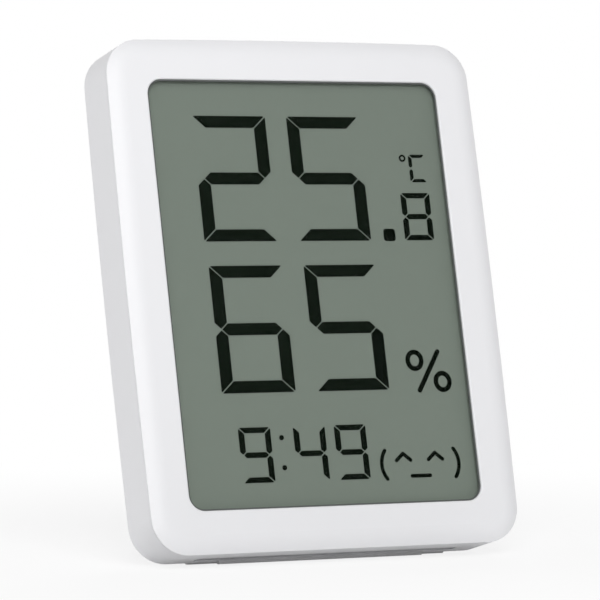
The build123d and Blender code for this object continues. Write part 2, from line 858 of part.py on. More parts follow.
def lcd_carrier():
    """Frame round the display with a web behind it, which the board lies on."""
    shape = front_view(span(-carrier_half_width, carrier_half_width, carrier_inset,
                            body_height - carrier_inset), front_back, board_front)
    shape -= front_view(window(lens_margin + drop_in_gap, lens_radius), front_back - cut_over,
                        lens_back + air_gap / 2)
    pocket = span(-glass_half_width - drop_in_gap, glass_half_width + drop_in_gap,
                  front_glass_bottom - drop_in_gap, glass_top + drop_in_gap)
    shape -= front_view(pocket, lens_back, web_front)
    gap = drop_in_gap
    low, high = contact_strip_span()
    shape -= block(-strip_half_length - gap, strip_half_length + gap, web_front - cut_over,
                   board_front + cut_over, low - gap, high + gap)
    for cut in corner_notches(front_back - cut_over, board_front + cut_over):
        shape -= cut
    for x, z in board_screw_spots():
        shape -= front_view(disc(board_boss_radius + drop_in_gap, x, z), front_back - cut_over, web_front)
        shape -= front_view(disc(board_screw_radius + air_gap, x, z), web_front, board_front + cut_over)
    return shape


def contact_strip_span():
    """Lowest and highest Z of the contact strip, on the free ledge of the front glass."""
    low = front_glass_bottom + strip_inset
    return low, low + strip_height


def contact_strip():
    """Conductive rubber strip from the front glass to the board."""
    low, high = contact_strip_span()
    return block(-strip_half_length, strip_half_length, cell_front, board_front, low, high)


def main_board():
    """Circuit board with room for the screw bosses and holes for its own screws."""
    shape = block(-board_half_width, board_half_width, board_front, board_back, board_bottom, board_top)
    for cut in corner_notches(board_front - cut_over, board_back + cut_over):
        shape -= cut
    for x, z in board_screw_spots():
        shape -= front_view(disc(board_screw_radius + air_gap, x, z), board_front - cut_over,
                            board_back + cut_over)
    return shape


def cross_recess(x, z, radius, top):
    """Cross cut in a screw head."""
    reach = radius * 2 / 3
    half = cross_width / 2
    sketch = span(x - reach, x + reach, z - half, z + half) + span(x - half, x + half, z - reach, z + reach)
    return front_view(sketch, top - cross_depth, top + cut_over)


def screw(x, z, seat, shank_radius, length, head_radius, head_height):
    """Pan-head screw driven from the back."""
    top = seat + head_height
    head = front_view(disc(head_radius, x, z), seat, top)
    rim = head.faces().sort_by(Axis.Y)[-1].edges()
    head = chamfer(rim, head_height / 4)
    shape = head + front_view(disc(shank_radius, x, z), seat - length, seat)
    return shape - cross_recess(x, z, head_radius, top)


def housing_screws():
    """Four screws that close the housing."""
    length = screw_seat - screw_split + screw_bite
    return [screw(x, z, screw_seat, screw_radius, length, screw_head_radius, screw_head_height)
            for x, z in screw_spots]


def board_screws():
    """Four screws that hold the board and the display carrier."""
    length = board_back - web_front + board_screw_reach - board_screw_bite
    return [screw(x, z, board_back, board_screw_radius, length, board_screw_head_radius, board_screw_head)
            for x, z in board_screw_spots()]


def microcontroller():
    """Flat square chip with a row of pins on each side."""
    half = controller_size / 2
    shape = block(-half, half, board_back, board_back + controller_thickness, -half, half)
    pitch = controller_size / (controller_pins + 1)
    reach = half + pin_length
    pins = Sketch()
    for index in range(controller_pins):
        place = (index + 1) * pitch - half
        pins += span(-reach, reach, place - pin_width / 2, place + pin_width / 2)
        pins += span(place - pin_width / 2, place + pin_width / 2, -reach, reach)
    shape += front_view(pins, board_back, board_back + pin_thickness)
    x, z = board_place(controller_shares)
    return Pos(x, 0, z) * shape


def clock_crystal():
    """Metal can on its side with two leads."""
    left, height = board_place(crystal_shares)
    middle = board_back + crystal_radius
    shape = side_view(disc(crystal_radius, middle, height), left, left + crystal_length)
    for side in (-1, 1):
        z = height + side * crystal_radius / 2
        half = crystal_lead_thickness / 2
        shape += block(left - crystal_lead, left, board_back, middle, z - half, z + half)
    return shape


def board_place(shares):
    """X and Z of a place on the board, from its shares of the board's width and height."""
    across, up = shares
    return 2 * across * board_half_width - board_half_width, board_bottom + up * (board_top - board_bottom)


def small_parts(places, thickness):
    """Small oblong parts on the back of the board."""
    parts = []
    for place in places:
        x, z = board_place(place)
        parts.append(block(x - small_part_width / 2, x + small_part_width / 2, board_back,
                           board_back + thickness, z - small_part_length / 2, z + small_part_length / 2))
    return parts


def humidity_sensor():
    """Chip on the board above the vents, with its sensing opening."""
    half = chip_size / 2
    shape = block(-half, half, board_back, board_back + chip_thickness, chip_height - half, chip_height + half)
    return shape - front_view(disc(half / 2, 0, chip_height), board_back + chip_thickness / 2,
                              board_back + chip_thickness + cut_over)


def sensor_gasket():
    """Foam arch that leads the air from the vents to the chip, from the board to the pocket wall."""
    low = wall + mesh_thickness
    outer = span(-gasket_half_width, gasket_half_width, low, low + gasket_height)
    inner = span(-gasket_half_width + gasket_wall, gasket_half_width - gasket_wall,
                 low - cut_over, low + gasket_height - gasket_wall)
    return front_view(outer - inner, board_back, pocket_inside)


def vent_mesh():
    """Dust mesh on the inside of the bottom wall."""
    half = vent_pitch * (vent_count - 1) / 2 + vent_slot_length / 2 + mesh_margin
    middle = (vent_front + vent_back) / 2
    deep = vent_slot_width / 2 + mesh_margin
    return block(-half, half, middle - deep, middle + deep, wall, wall + mesh_thickness)


def coin_cell():
    """Flat round cell, with the smaller lid towards the board."""
    can = front_view(disc(cell_radius, cell_x, cell_z), cell_face + cell_bevel, cell_rear)
    lid = front_view(disc(cell_radius - 2 * cell_bevel, cell_x, cell_z), cell_face, cell_face + cell_bevel)
    return can + lid


def negative_contact():
    """Bowed leaf spring between the board and the cell's lid."""
    reach = negative_half_length
    flat = reach * negative_flat_share
    low = board_back
    high = cell_face
    t = contact_sheet
    points = [(-reach, low), (-reach, low + t), (-reach + flat, low + t), (-flat, high), (flat, high),
              (reach - flat, low + t), (reach, low + t), (reach, low), (reach - flat, low),
              (flat, high - t), (-flat, high - t), (-reach + flat, low)]
    section = Pos(cell_x, 0) * make_face(Polyline(*points, close=True))
    return top_view(section, cell_z - negative_width / 2, cell_z + negative_width / 2)


def positive_contact():
    """Upright leaf beside the cell, with a foot on the board."""
    inner = cell_x - cell_radius - running_gap
    outer = inner - positive_sheet
    half = positive_half_width
    leaf = block(outer, inner, board_back, cell_rear - positive_top_gap, cell_z - half, cell_z + half)
    return leaf + block(outer - positive_foot, outer, board_back, board_back + contact_sheet,
                        cell_z - half, cell_z + half)


def battery_cover():
    """Quarter-turn cover with a coin slot, a neck and three tabs."""
    neck_back = cover_ledge + cover_ledge_gap
    plate = front_view(disc(cover_radius, cell_x, cell_z), neck_back, cover_face)
    rim = plate.faces().sort_by(Axis.Y)[-1].edges()
    plate = chamfer(rim, cover_recess)
    neck = front_view(disc(cover_neck_radius, cell_x, cell_z), inner_back - pad_gap, neck_back)
    tab_back = inner_back - tab_gap
    tab_front = tab_back - tab_thickness
    ring = disc(cover_neck_radius, cell_x, cell_z) - disc(cover_neck_radius - cover_ring_wall, cell_x, cell_z)
    shape = plate + neck + front_view(ring, tab_front, inner_back - pad_gap)
    for index in range(tab_count):
        shape += front_view(tab_sector(tab_middle(index), tab_angle, tab_outer), tab_front, tab_back)
    slot = Pos(cell_x, cell_z) * SlotOverall(coin_slot_length, coin_slot_width)
    return shape - front_view(slot, cover_face - coin_slot_depth, cover_face + cut_over)


def cover_pad():
    """Foam pad stuck inside the battery cover."""
    back = inner_back - pad_gap
    return front_view(disc(pad_radius, cell_x, cell_z), back - pad_thickness, back)


def stand():
    """Flat leg with its hinge barrel, stop tail, thinned middle and finger notch, drawn folded."""
    low = foot_rise
    plate = span(-stand_half_width, stand_half_width, low, hinge_height + hinge_tail)
    shape = front_view(plate, stand_inner, stand_outer)
    barrel = disc(hinge_barrel_radius, hinge_depth, hinge_height)
    shape += side_view(barrel, -stand_half_width, stand_half_width)
    margin = stand_window_margin
    thin = span(-stand_half_width + margin, stand_half_width - margin,
                low + finger_notch_radius + margin, hinge_height - margin, stand_corner)
    shape -= front_view(thin, stand_outer - stand_rib_depth, stand_outer + cut_over)
    shape -= front_view(disc(finger_notch_radius, 0, low - foot_radius), stand_inner - cut_over,
                        stand_outer + cut_over)
    shape -= side_view(disc(foot_radius, stand_middle, low), -stand_half_width - cut_over,
                       stand_half_width + cut_over)
    return shape - side_view(disc(hinge_pin_radius + running_gap, hinge_depth, hinge_height),
                             -stand_half_width - cut_over, stand_half_width + cut_over)


def stand_foot_beads():
    """Rubber rods on the tip of the stand, one on each side of the finger notch."""
    section = disc(foot_radius, stand_middle, foot_rise)
    start = finger_notch_radius + foot_radius
    right = side_view(section, start, stand_half_width)
    return [right, mirror(right, Plane.YZ)]


def hinge_pin():
    """Steel pin held in the housing."""
    return side_view(disc(hinge_pin_radius, hinge_depth, hinge_height), -pin_half_length, pin_half_length)


def rubber_strips():
    """Rubber rods let into the bottom of the body."""
    return rubber_rods().solids()


def push_button(z):
    """Round button with a flange that keeps it in, and a stem that reaches the switch."""
    cap = front_view(disc(button_radius, button_x, z), button_flange_back, button_face)
    rim = cap.faces().sort_by(Axis.Y)[-1].edges()
    cap = fillet(rim, button_rounding)
    flange = front_view(disc(button_flange_radius, button_x, z), button_flange_front, button_flange_back)
    return cap + flange + front_view(disc(button_stem_radius, button_x, z), plunger_end, button_flange_front)


def switch_body(z):
    """Square tact switch with the well that its plunger moves in."""
    half = switch_size / 2
    shape = block(button_x - half, button_x + half, board_back, switch_top, z - half, z + half)
    return shape - front_view(disc(plunger_radius + running_gap, button_x, z), switch_top - switch_well_depth,
                              switch_top + cut_over)


def switch_plunger(z):
    """Plunger of a tact switch, which moves with the button."""
    bottom = switch_top - switch_well_depth + 2 * button_travel
    return front_view(disc(plunger_radius, button_x, z), bottom, plunger_end)


def stand_opened(shape):
    """Turn a piece of the stand from folded to open about the hinge."""
    hinge = Pos(0, hinge_depth, hinge_height)
    return hinge * Rot(stand_opening, 0, 0) * hinge.inverse() * shape


def as_list(shape):
    """One shape or several, as a list of solids."""
    if isinstance(shape, (list, tuple)):
        return [solid for piece in shape for solid in piece.solids()]
    return list(shape.solids())


def build_pieces():
    """Every node by name, upright, with the stand open."""
    pieces = {
        "front_housing": front_housing(),
        "rear_housing": rear_housing(),
        "window_lens": window_lens(),
        "lens_tape": lens_tape(),
        "front_polariser": front_polariser(),
        "lcd_front_glass": lcd_front_glass(),
        "lcd_rear_glass": lcd_rear_glass(),
        "rear_reflector": rear_reflector(),
        "lcd_edge_seal": lcd_edge_seal(),
        "temperature_segments": temperature_segments(),
        "humidity_segments": humidity_segments(),
        "time_segments": time_segments(),
        "comfort_segments": comfort_segments(),
        "lcd_carrier": lcd_carrier(),
        "contact_strip": contact_strip(),
        "main_board": main_board(),
        "board_screws": board_screws(),
        "housing_screws": housing_screws(),
        "microcontroller": microcontroller(),
        "clock_crystal": clock_crystal(),
        "board_capacitors": small_parts(capacitor_shares, capacitor_thickness),
        "board_resistors": small_parts(resistor_shares, resistor_thickness),
        "humidity_sensor": humidity_sensor(),
        "sensor_gasket": sensor_gasket(),
        "vent_mesh": vent_mesh(),
        "coin_cell": coin_cell(),
        "negative_contact": negative_contact(),
        "positive_contact": positive_contact(),
        "battery_cover": battery_cover(),
        "cover_pad": cover_pad(),
        "stand": stand_opened(stand()),
        "stand_foot_beads": [stand_opened(bead) for bead in stand_foot_beads()],
        "hinge_pin": hinge_pin(),
        "rubber_strips": rubber_strips(),
    }
    for name, z in button_heights.items():
        pieces[name + "_button"] = push_button(z)
        pieces[name + "_switch_body"] = switch_body(z)
        pieces[name + "_switch_plunger"] = switch_plunger(z)
    return pieces


def lowest_and_middle(solids):
    """Shift that puts the floor at the flat of the rubber and the middle of the box on the Z axis."""
    boxes = [solid.bounding_box() for solid in solids]
    middle_x = (min(box.min.X for box in boxes) + max(box.max.X for box in boxes)) / 2
    middle_y = (min(box.min.Y for box in boxes) + max(box.max.Y for box in boxes)) / 2
    return Pos(-middle_x, -middle_y, -min(box.min.Z for box in boxes) - rubber_flat)


def pressed_flat(solid):
    """Cut away what a rubber piece would have below the floor."""
    box = solid.bounding_box()
    below = block(box.min.X - cut_over, box.max.X + cut_over, box.min.Y - cut_over, box.max.Y + cut_over,
                  box.min.Z - cut_over, 0)
    return (solid - below).solids()[0]


def main():
    """Lean the assembly back, stand it on the floor about its own middle and write every node."""
    os.makedirs("parts", exist_ok=True)
    leaned = {name: [Rot(-lean_angle, 0, 0) * solid for solid in as_list(shape)]
              for name, shape in build_pieces().items()}
    place = lowest_and_middle([solid for solids in leaned.values() for solid in solids])
    for name, solids in leaned.items():
        placed = [place * solid for solid in solids]
        if name in rubber_pieces:
            placed = [pressed_flat(solid) for solid in placed]
        export_step(placed[0] if len(placed) == 1 else Compound(placed), "parts/" + name + ".step")
    marks = {"hinge": (0, hinge_depth, hinge_height), "cover": (cell_x, inner_back, cell_z),
             "back": (0, body_depth, middle_z), "keyhole": (0, body_depth, keyhole_z),
             "upright origin": (0, 0, 0)}
    for name, spot in marks.items():
        print(name, (place * Rot(-lean_angle, 0, 0) * Pos(*spot)).position)
    print("stand opening", stand_opening)


main()
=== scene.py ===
"""Looks of a slim desktop sensor for temperature and humidity with a large liquid crystal display.

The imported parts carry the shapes. This script dresses them, adds the moulded marks of the back, and
sets up the floor, the light and the camera. Lengths are in metres unless a name says otherwise.
"""

import json
import logging
import math
from dataclasses import dataclass, field
from enum import Enum

import bmesh
import bpy
from mathutils import Matrix, Vector


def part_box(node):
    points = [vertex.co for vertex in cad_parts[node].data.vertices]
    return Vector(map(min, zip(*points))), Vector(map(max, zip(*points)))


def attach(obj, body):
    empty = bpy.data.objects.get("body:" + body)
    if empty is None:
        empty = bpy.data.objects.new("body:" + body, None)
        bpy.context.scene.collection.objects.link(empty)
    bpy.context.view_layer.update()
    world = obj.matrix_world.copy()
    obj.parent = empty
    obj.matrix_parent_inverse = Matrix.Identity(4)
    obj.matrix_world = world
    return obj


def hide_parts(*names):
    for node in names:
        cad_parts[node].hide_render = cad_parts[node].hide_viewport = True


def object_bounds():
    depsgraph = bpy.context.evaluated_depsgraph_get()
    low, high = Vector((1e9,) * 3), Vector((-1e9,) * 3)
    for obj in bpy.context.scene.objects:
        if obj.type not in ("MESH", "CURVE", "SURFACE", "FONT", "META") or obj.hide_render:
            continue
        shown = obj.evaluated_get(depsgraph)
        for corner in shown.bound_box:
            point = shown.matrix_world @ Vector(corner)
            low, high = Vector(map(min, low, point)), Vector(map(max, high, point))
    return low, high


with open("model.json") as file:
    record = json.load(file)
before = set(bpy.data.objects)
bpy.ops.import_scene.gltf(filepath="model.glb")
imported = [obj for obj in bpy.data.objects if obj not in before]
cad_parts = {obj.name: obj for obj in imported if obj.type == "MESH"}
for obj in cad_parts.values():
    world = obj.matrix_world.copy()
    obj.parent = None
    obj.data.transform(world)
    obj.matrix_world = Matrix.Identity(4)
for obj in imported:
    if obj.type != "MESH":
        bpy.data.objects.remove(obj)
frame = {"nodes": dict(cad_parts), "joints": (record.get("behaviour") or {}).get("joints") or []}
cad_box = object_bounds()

log = logging.getLogger("sensor")

MM = 0.001
Triple = tuple[float, float, float]
Colour = Triple
Pair = tuple[float, float]
Number = float | int
Socket = bpy.types.NodeSocket
WHITE: Colour = (1.0, 1.0, 1.0)

# Sockets of the Mix node that carry colours, whose names are the same as those for numbers
MIX_LOW, MIX_HIGH, MIX_RESULT = 6, 7, 2

# Distance in millimetres below which a mark's corners are one, and angle from which its edges are sharp
WELD = 0.0005
SHARP = math.radians(40.0)


# Shader maths


class Signal:
    """A value that runs through a material, with Python's operators for its maths.

    Attributes:
        graph: The graph that the value belongs to.
        socket: The output socket that carries it.
    """

    def __init__(self, graph: "Graph", socket: Socket) -> None:
        """Keep the graph and the socket."""
        self.graph = graph
        self.socket = socket

    def math(self, operation: str, *others: "Signal | Number") -> "Signal":
        """Result of a Math node that starts from this value."""
        return self.graph.maths(operation, self, *others)

    def __add__(self, other: "Signal | Number") -> "Signal":
        """Sum."""
        return self.math("ADD", other)

    def __radd__(self, other: Number) -> "Signal":
        """Sum with a number on the left."""
        return self.math("ADD", other)

    def __sub__(self, other: "Signal | Number") -> "Signal":
        """Difference."""
        return self.math("SUBTRACT", other)

    def __rsub__(self, other: Number) -> "Signal":
        """Difference from a number on the left."""
        return self.graph.maths("SUBTRACT", other, self)

    def __mul__(self, other: "Signal | Number") -> "Signal":
        """Product."""
        return self.math("MULTIPLY", other)

    def __rmul__(self, other: Number) -> "Signal":
        """Product with a number on the left."""
        return self.math("MULTIPLY", other)

    def over(self, limit: "Signal | Number") -> "Signal":
        """1 where the value is greater than a limit, otherwise 0."""
        return self.math("GREATER_THAN", limit)

    def wave(self, pitch: float) -> "Signal":
        """Sine of the value, from 0 to 1, that repeats at a pitch."""
        return (self * (math.tau / pitch)).math("SINE") * 0.5 + 0.5

    def ramp(self, low: float, high: float) -> "Signal":
        """Smooth step from 0 at low to 1 at high."""
        node = self.graph.node("ShaderNodeMapRange", {"interpolation_type": "SMOOTHSTEP"},
                               {"Value": self, "From Min": low, "From Max": high})
        return Signal(self.graph, node.outputs["Result"])


class Graph:
    """The node tree of a material or of the world.

    Attributes:
        tree: The node tree that nodes are added to.
    """

    def __init__(self, tree: bpy.types.NodeTree) -> None:
        """Start from an empty tree."""
        self.tree = tree
        tree.nodes.clear()

    def node(self, kind: str, settings: dict[str, object] | None = None,
             inputs: dict[str | int, object] | None = None) -> bpy.types.Node:
        """Add a node, give it its settings, then the values or links of its sockets.

        Args:
            kind: The node's type.
            settings: Its properties by name.
            inputs: Values, signals or sockets by the name or number of the input.

        Returns:
            The new node.
        """
        made = self.tree.nodes.new(kind)
        for name, value in (settings or {}).items():
            setattr(made, name, value)
        for key, value in (inputs or {}).items():
            self.feed(made.inputs[key], value)
        return made

    def feed(self, socket: Socket, value: object) -> None:
        """Link a signal or socket to an input, or set the input's own value.

        Args:
            socket: The input.
            value: What it gets. A colour may leave out its alpha.
        """
        if isinstance(value, Signal):
            self.tree.links.new(value.socket, socket)
        elif isinstance(value, Socket):
            self.tree.links.new(value, socket)
        elif isinstance(value, tuple) and socket.type == "RGBA" and len(value) == 3:
            socket.default_value = (*value, 1.0)
        else:
            socket.default_value = value

    def maths(self, operation: str, *operands: Signal | Number) -> Signal:
        """Result of a Math node with its operands in order."""
        made = self.node("ShaderNodeMath", {"operation": operation}, dict(enumerate(operands)))
        return Signal(self, made.outputs[0])

    def place(self, origin: Vector, turn: float) -> Socket:
        """Object coordinates in millimetres, counted from an origin, in axes turned about X.

        Args:
            origin: The point that becomes zero.
            turn: Angle of the axes about X, in radians.

        Returns:
            The vector's socket.
        """
        coordinates = self.node("ShaderNodeTexCoord")
        mapping = self.node("ShaderNodeMapping", {"vector_type": "TEXTURE"},
                            {"Vector": coordinates.outputs["Object"], "Location": tuple(origin),
                             "Rotation": (turn, 0.0, 0.0), "Scale": (MM, MM, MM)})
        return mapping.outputs["Vector"]

    def axes(self, vector: Socket) -> tuple[Signal, Signal, Signal]:
        """The three parts of a vector."""
        split = self.node("ShaderNodeSeparateXYZ", None, {"Vector": vector})
        return tuple(Signal(self, split.outputs[index]) for index in range(3))

    def stretched(self, vector: Socket, scale: Triple) -> Socket:
        """A vector with each part multiplied."""
        made = self.node("ShaderNodeVectorMath", {"operation": "MULTIPLY"}, {0: vector, 1: scale})
        return made.outputs[0]

    def noise(self, vector: Socket, scale: float, detail: float = 2.0, roughness: float = 0.5) -> Signal:
        """Soft random pattern from 0 to 1. Scale counts its patches per unit, detail its finer layers."""
        made = self.node("ShaderNodeTexNoise", None, {"Vector": vector, "Scale": scale, "Detail": detail,
                                                      "Roughness": roughness})
        return Signal(self, made.outputs[0])

    def cells(self, vector: Socket, scale: float) -> Signal:
        """Distance to the nearest of many scattered points."""
        made = self.node("ShaderNodeTexVoronoi", {"feature": "F1"}, {"Vector": vector, "Scale": scale})
        return Signal(self, made.outputs["Distance"])

    def mixed(self, share: Signal, low: Colour | Socket, high: Colour | Socket) -> Socket:
        """Colour that is low where the share is 0 and high where it is 1."""
        made = self.node("ShaderNodeMix", {"data_type": "RGBA"}, {0: share, MIX_LOW: low, MIX_HIGH: high})
        return made.outputs[MIX_RESULT]

    def bump(self, height: Signal, depth: float) -> Socket:
        """Normal of a surface whose small relief has a height from 0 to 1 and a depth in metres."""
        made = self.node("ShaderNodeBump", None, {"Height": height, "Strength": 1.0, "Distance": depth})
        return made.outputs["Normal"]

    def finish(self, shader: Socket) -> None:
        """Send a shader to the material's output."""
        self.node("ShaderNodeOutputMaterial", None, {"Surface": shader})


# Where the upright body and the open stand are


@dataclass(frozen=True)
class Placing:
    """Axes of a piece: X to the right, Y from the front to the back, Z up along it.

    Attributes:
        origin: The point that counts as zero.
        turn: Angle of the axes about X, in radians.
    """

    origin: Vector
    turn: float

    def matrix(self) -> Matrix:
        """Turn and shift from these axes to the scene's."""
        return Matrix.Translation(self.origin) @ Matrix.Rotation(self.turn, 4, "X")


def joint(name: str) -> dict:
    """The record of a joint."""
    return next(entry for entry in frame["joints"] if entry["name"] == name)


@dataclass(frozen=True)
class Posture:
    """How the sensor stands: the body leans back, and its stand is open.

    Attributes:
        hinge_depth: Distance from the bezel's face to the stand's hinge, in millimetres.
        hinge_height: Distance from the body's bottom face to the stand's hinge, in millimetres.
        opening: Angle of the open stand from the body's back, in radians.
    """

    hinge_depth: float = 12.6
    hinge_height: float = 66.0
    opening: float = math.radians(-joint("stand_hinge")["range_deg"][0])

    @property
    def lean(self) -> float:
        """Angle that the body leans back by, from the direction in which its buttons move."""
        axis = joint("mode_press")["axis"]
        return math.atan2(axis[2], -axis[1])

    def body(self) -> Placing:
        """Axes of the body, from the middle of its bottom front edge."""
        return self.about_hinge(-self.lean)

    def stand(self) -> Placing:
        """Axes of the open stand, which are the body's where the stand is folded."""
        return self.about_hinge(self.opening - self.lean)

    def about_hinge(self, turn: float) -> Placing:
        """Axes turned about X that put the hinge where it is."""
        reach = Matrix.Rotation(turn, 3, "X") @ Vector((0.0, self.hinge_depth, self.hinge_height)) * MM
        low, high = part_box("hinge_pin")
        return Placing(Vector((0.0, (low.y + high.y) / 2, (low.z + high.z) / 2)) - reach, turn)


POSTURE = Posture()


# Finishes


@dataclass(frozen=True)
class Finish:
    """A surface finish. Each kind of finish says how its nodes are laid.

    Attributes:
        name: Name of the material.
        colour: Main colour.
        roughness: Mean roughness.
        placing: Axes that the pattern follows.
        grain: Patches of the main pattern per millimetre.
        depth: Depth of its relief in metres.
        uneven: How much it changes the roughness.
        second: Patches of the second pattern per millimetre.
        second_uneven: How much that changes the roughness.
        stretch: Factor along each axis for a drawn-out pattern, below 1 where it is long.
        tones: Shares of the main colour's brightness that the patterns run between.
        refraction: Index of refraction.
        reflection: Level of the reflection, where 0.5 is what the index gives.
    """

    name: str
    colour: Colour
    roughness: float = 0.5
    placing: Placing = field(default_factory=POSTURE.body)
    grain: float = 1.0
    depth: float = 0.00001
    uneven: float = 0.1
    second: float = 0.5
    second_uneven: float = 0.0
    stretch: Triple = (1.0, 1.0, 1.0)
    tones: Pair = (1.0, 1.0)
    refraction: float = 1.5
    reflection: float = 0.5

    def material(self) -> bpy.types.Material:
        """The material, made once and then shared."""
        known = bpy.data.materials.get(self.name)
        if known is not None:
            return known
        made = bpy.data.materials.new(self.name)
        made.use_nodes = True
        graph = Graph(made.node_tree)
        graph.finish(self.shader(graph, graph.place(self.placing.origin, self.placing.turn)))
        made.diffuse_color = (*self.colour, 1.0)
        return made

    def shader(self, graph: Graph, at: Socket) -> Socket:
        """Lay the nodes, from the place on the piece in millimetres along the finish's axes."""
        raise NotImplementedError

    def surface(self, graph: Graph, colour: Colour | Socket, roughness: Number | Signal,
                relief: Signal | None = None, **others: object) -> Socket:
        """Lay the main shader.

        Args:
            graph: The material's graph.
            colour: Colour of the surface.
            roughness: Its roughness.
            relief: Level of its relief, from 0 to 1.
            others: What else the shader takes, by the socket's name.

        Returns:
            The shader's socket.
        """
        sockets = {"Base Color": colour, "Roughness": roughness, "IOR": self.refraction,
                   "Specular IOR Level": self.reflection, **others}
        if relief is not None:
            sockets["Normal"] = graph.bump(relief, self.depth)
        return graph.node("ShaderNodeBsdfPrincipled", None, sockets).outputs[0]

    def tinted(self, graph: Graph, share: Signal) -> Socket:
        """The main colour, from its first tone where a share is 0 to its second where it is 1."""
        return graph.mixed(share, *(tuple(part * tone for part in self.colour) for tone in self.tones))

    def rough(self, pattern: Signal) -> Signal:
        """The roughness, made uneven by a pattern whose mean is a half."""
        return self.roughness + (pattern - 0.5) * self.uneven


@dataclass(frozen=True)
class MouldedPlastic(Finish):
    """Plastic from a mould whose walls were spark eroded: satin, with a fine even grain.

    Attributes:
        touches: Patches per millimetre that hands have smoothed.
        polish: How much smoother those patches are.
    """

    grain: float = 7.0
    depth: float = 0.000006
    uneven: float = 0.08
    second: float = 0.05
    second_uneven: float = 0.05
    stretch: Triple = (1.0, 1.0, 0.35)
    tones: Pair = (0.985, 1.012)
    reflection: float = 0.42
    touches: float = 0.22
    polish: float = 0.03

    def shader(self, graph: Graph, at: Socket) -> Socket:
        """Grain in the bump, soft flow clouds in the roughness and a trace of them in the colour."""
        fine = graph.noise(at, self.grain, detail=3.0, roughness=0.6)
        coarse = graph.noise(at, self.grain * 0.3, detail=1.0)
        flow = graph.noise(graph.stretched(at, self.stretch), self.second)
        touched = graph.noise(at, self.touches, detail=4.0, roughness=0.65).ramp(0.5, 0.8)
        relief = fine * 0.7 + coarse * 0.3
        roughness = self.rough(fine) + (flow - 0.5) * self.second_uneven - touched * self.polish
        return self.surface(graph, self.tinted(graph, flow * 0.7 + fine * 0.3), roughness, relief)


@dataclass(frozen=True)
class ClearSheet(Finish):
    """Clear sheet that lets the display show through, with a low sheen on its face.

    Attributes:
        alpha: How much each face hides of what is behind it.
        specks: Places per millimetre that can hold a speck of dust.
        speck_size: Radius of a speck, as a share of the distance between such places.
        dust_alpha: How much more a speck hides.
    """

    grain: float = 0.08
    depth: float = 0.00002
    uneven: float = 0.04
    second: float = 0.3
    second_uneven: float = 0.3
    refraction: float = 1.49
    alpha: float = 0.05
    specks: float = 0.55
    speck_size: float = 0.03
    dust_alpha: float = 0.02

    def shader(self, graph: Graph, at: Socket) -> Socket:
        """A thin veil whose roughness has the faint waves of a pressed sheet."""
        waves = graph.noise(at, self.grain)
        drift = graph.noise(at, self.second).ramp(0.55, 0.75)
        dust = graph.cells(at, self.specks).math("LESS_THAN", self.speck_size) * drift
        return self.surface(graph, self.colour, self.rough(waves) + dust * self.second_uneven, waves,
                            Alpha=self.alpha + dust * self.dust_alpha)


@dataclass(frozen=True)
class DisplayGround(Finish):
    """Grey-green ground of a reflective liquid crystal display, with painted light that makes its lower part
    lighter.

    Attributes:
        low: Height on the body where the painted light makes the ground lightest, in millimetres.
        high: Height where that painted light ends and the ground is darkest.
    """

    grain: float = 9.0
    depth: float = 0.000004
    second: float = 0.03
    stretch: Triple = (1.0, 1.0, 0.6)
    # Tones run from the painted light at the foot to the darker top, and over the real film and gap pattern
    tones: Pair = (1.04, 0.98)
    refraction: float = 1.4
    reflection: float = 0.12
    low: float = 9.0
    high: float = 103.0

    def shader(self, graph: Graph, at: Socket) -> Socket:
        """Fine film grain, slow unevenness of the cell gap, and painted light that makes the foot lighter.
        """
        height = graph.axes(at)[2]
        film = graph.noise(at, self.grain)
        gap = graph.noise(graph.stretched(at, self.stretch), self.second, detail=1.0)
        # Painted light: the share grows with height, so the ground is lighter towards its foot to offset the
        # shade there; film and gap are real unevenness
        share = height.ramp(self.low, self.high) * 0.8 + (film - 0.5) * 0.25 + gap * 0.2
        return self.surface(graph, self.tinted(graph, share), self.rough(film), film)


@dataclass(frozen=True)
class SegmentInk(Finish):
    """Dark liquid crystal segment."""

    grain: float = 3.0
    tones: Pair = (0.8, 1.25)
    reflection: float = 0.05

    def shader(self, graph: Graph, at: Socket) -> Socket:
        """Nearly black, with the faintest mottle."""
        mottle = graph.noise(at, self.grain)
        return self.surface(graph, self.tinted(graph, mottle), self.rough(mottle))


@dataclass(frozen=True)
class SoftRubber(Finish):
    """Rubber or tape with a dry, slightly pitted skin.

    Attributes:
        ribs: Pitch of the stripes along X in millimetres, or 0 for none.
    """

    grain: float = 5.0
    depth: float = 0.00002
    uneven: float = 0.15
    second: float = 0.6
    tones: Pair = (0.82, 1.5)
    reflection: float = 0.3
    ribs: float = 0.0

    def shader(self, graph: Graph, at: Socket) -> Socket:
        """Pits in the bump, dust in the colour, and stripes where the strip conducts."""
        pits = graph.noise(at, self.grain, detail=4.0, roughness=0.7)
        dust = graph.noise(at, self.second, detail=3.0).ramp(0.55, 0.85)
        share = dust * 0.5 + pits * 0.2
        if self.ribs:
            share = share * 0.4 + graph.axes(at)[0].wave(self.ribs).over(0.5) * 0.6
        return self.surface(graph, self.tinted(graph, share), self.rough(pits), pits)


@dataclass(frozen=True)
class PlatedMetal(Finish):
    """Drawn, rolled or turned metal with a thin plating."""

    grain: float = 6.0
    depth: float = 0.000006
    uneven: float = 0.2
    second_uneven: float = 0.12
    tones: Pair = (1.06, 0.85)

    def shader(self, graph: Graph, at: Socket) -> Socket:
        """Fine lines in roughness and bump, and dull patches where it was handled."""
        lines = graph.noise(graph.stretched(at, self.stretch), self.grain, detail=3.0, roughness=0.6)
        dull = graph.noise(at, self.second, detail=3.0).ramp(0.45, 0.8)
        return self.surface(graph, self.tinted(graph, dull * 0.6 + lines * 0.4),
                            self.rough(lines) + dull * self.second_uneven, lines, Metallic=1.0)


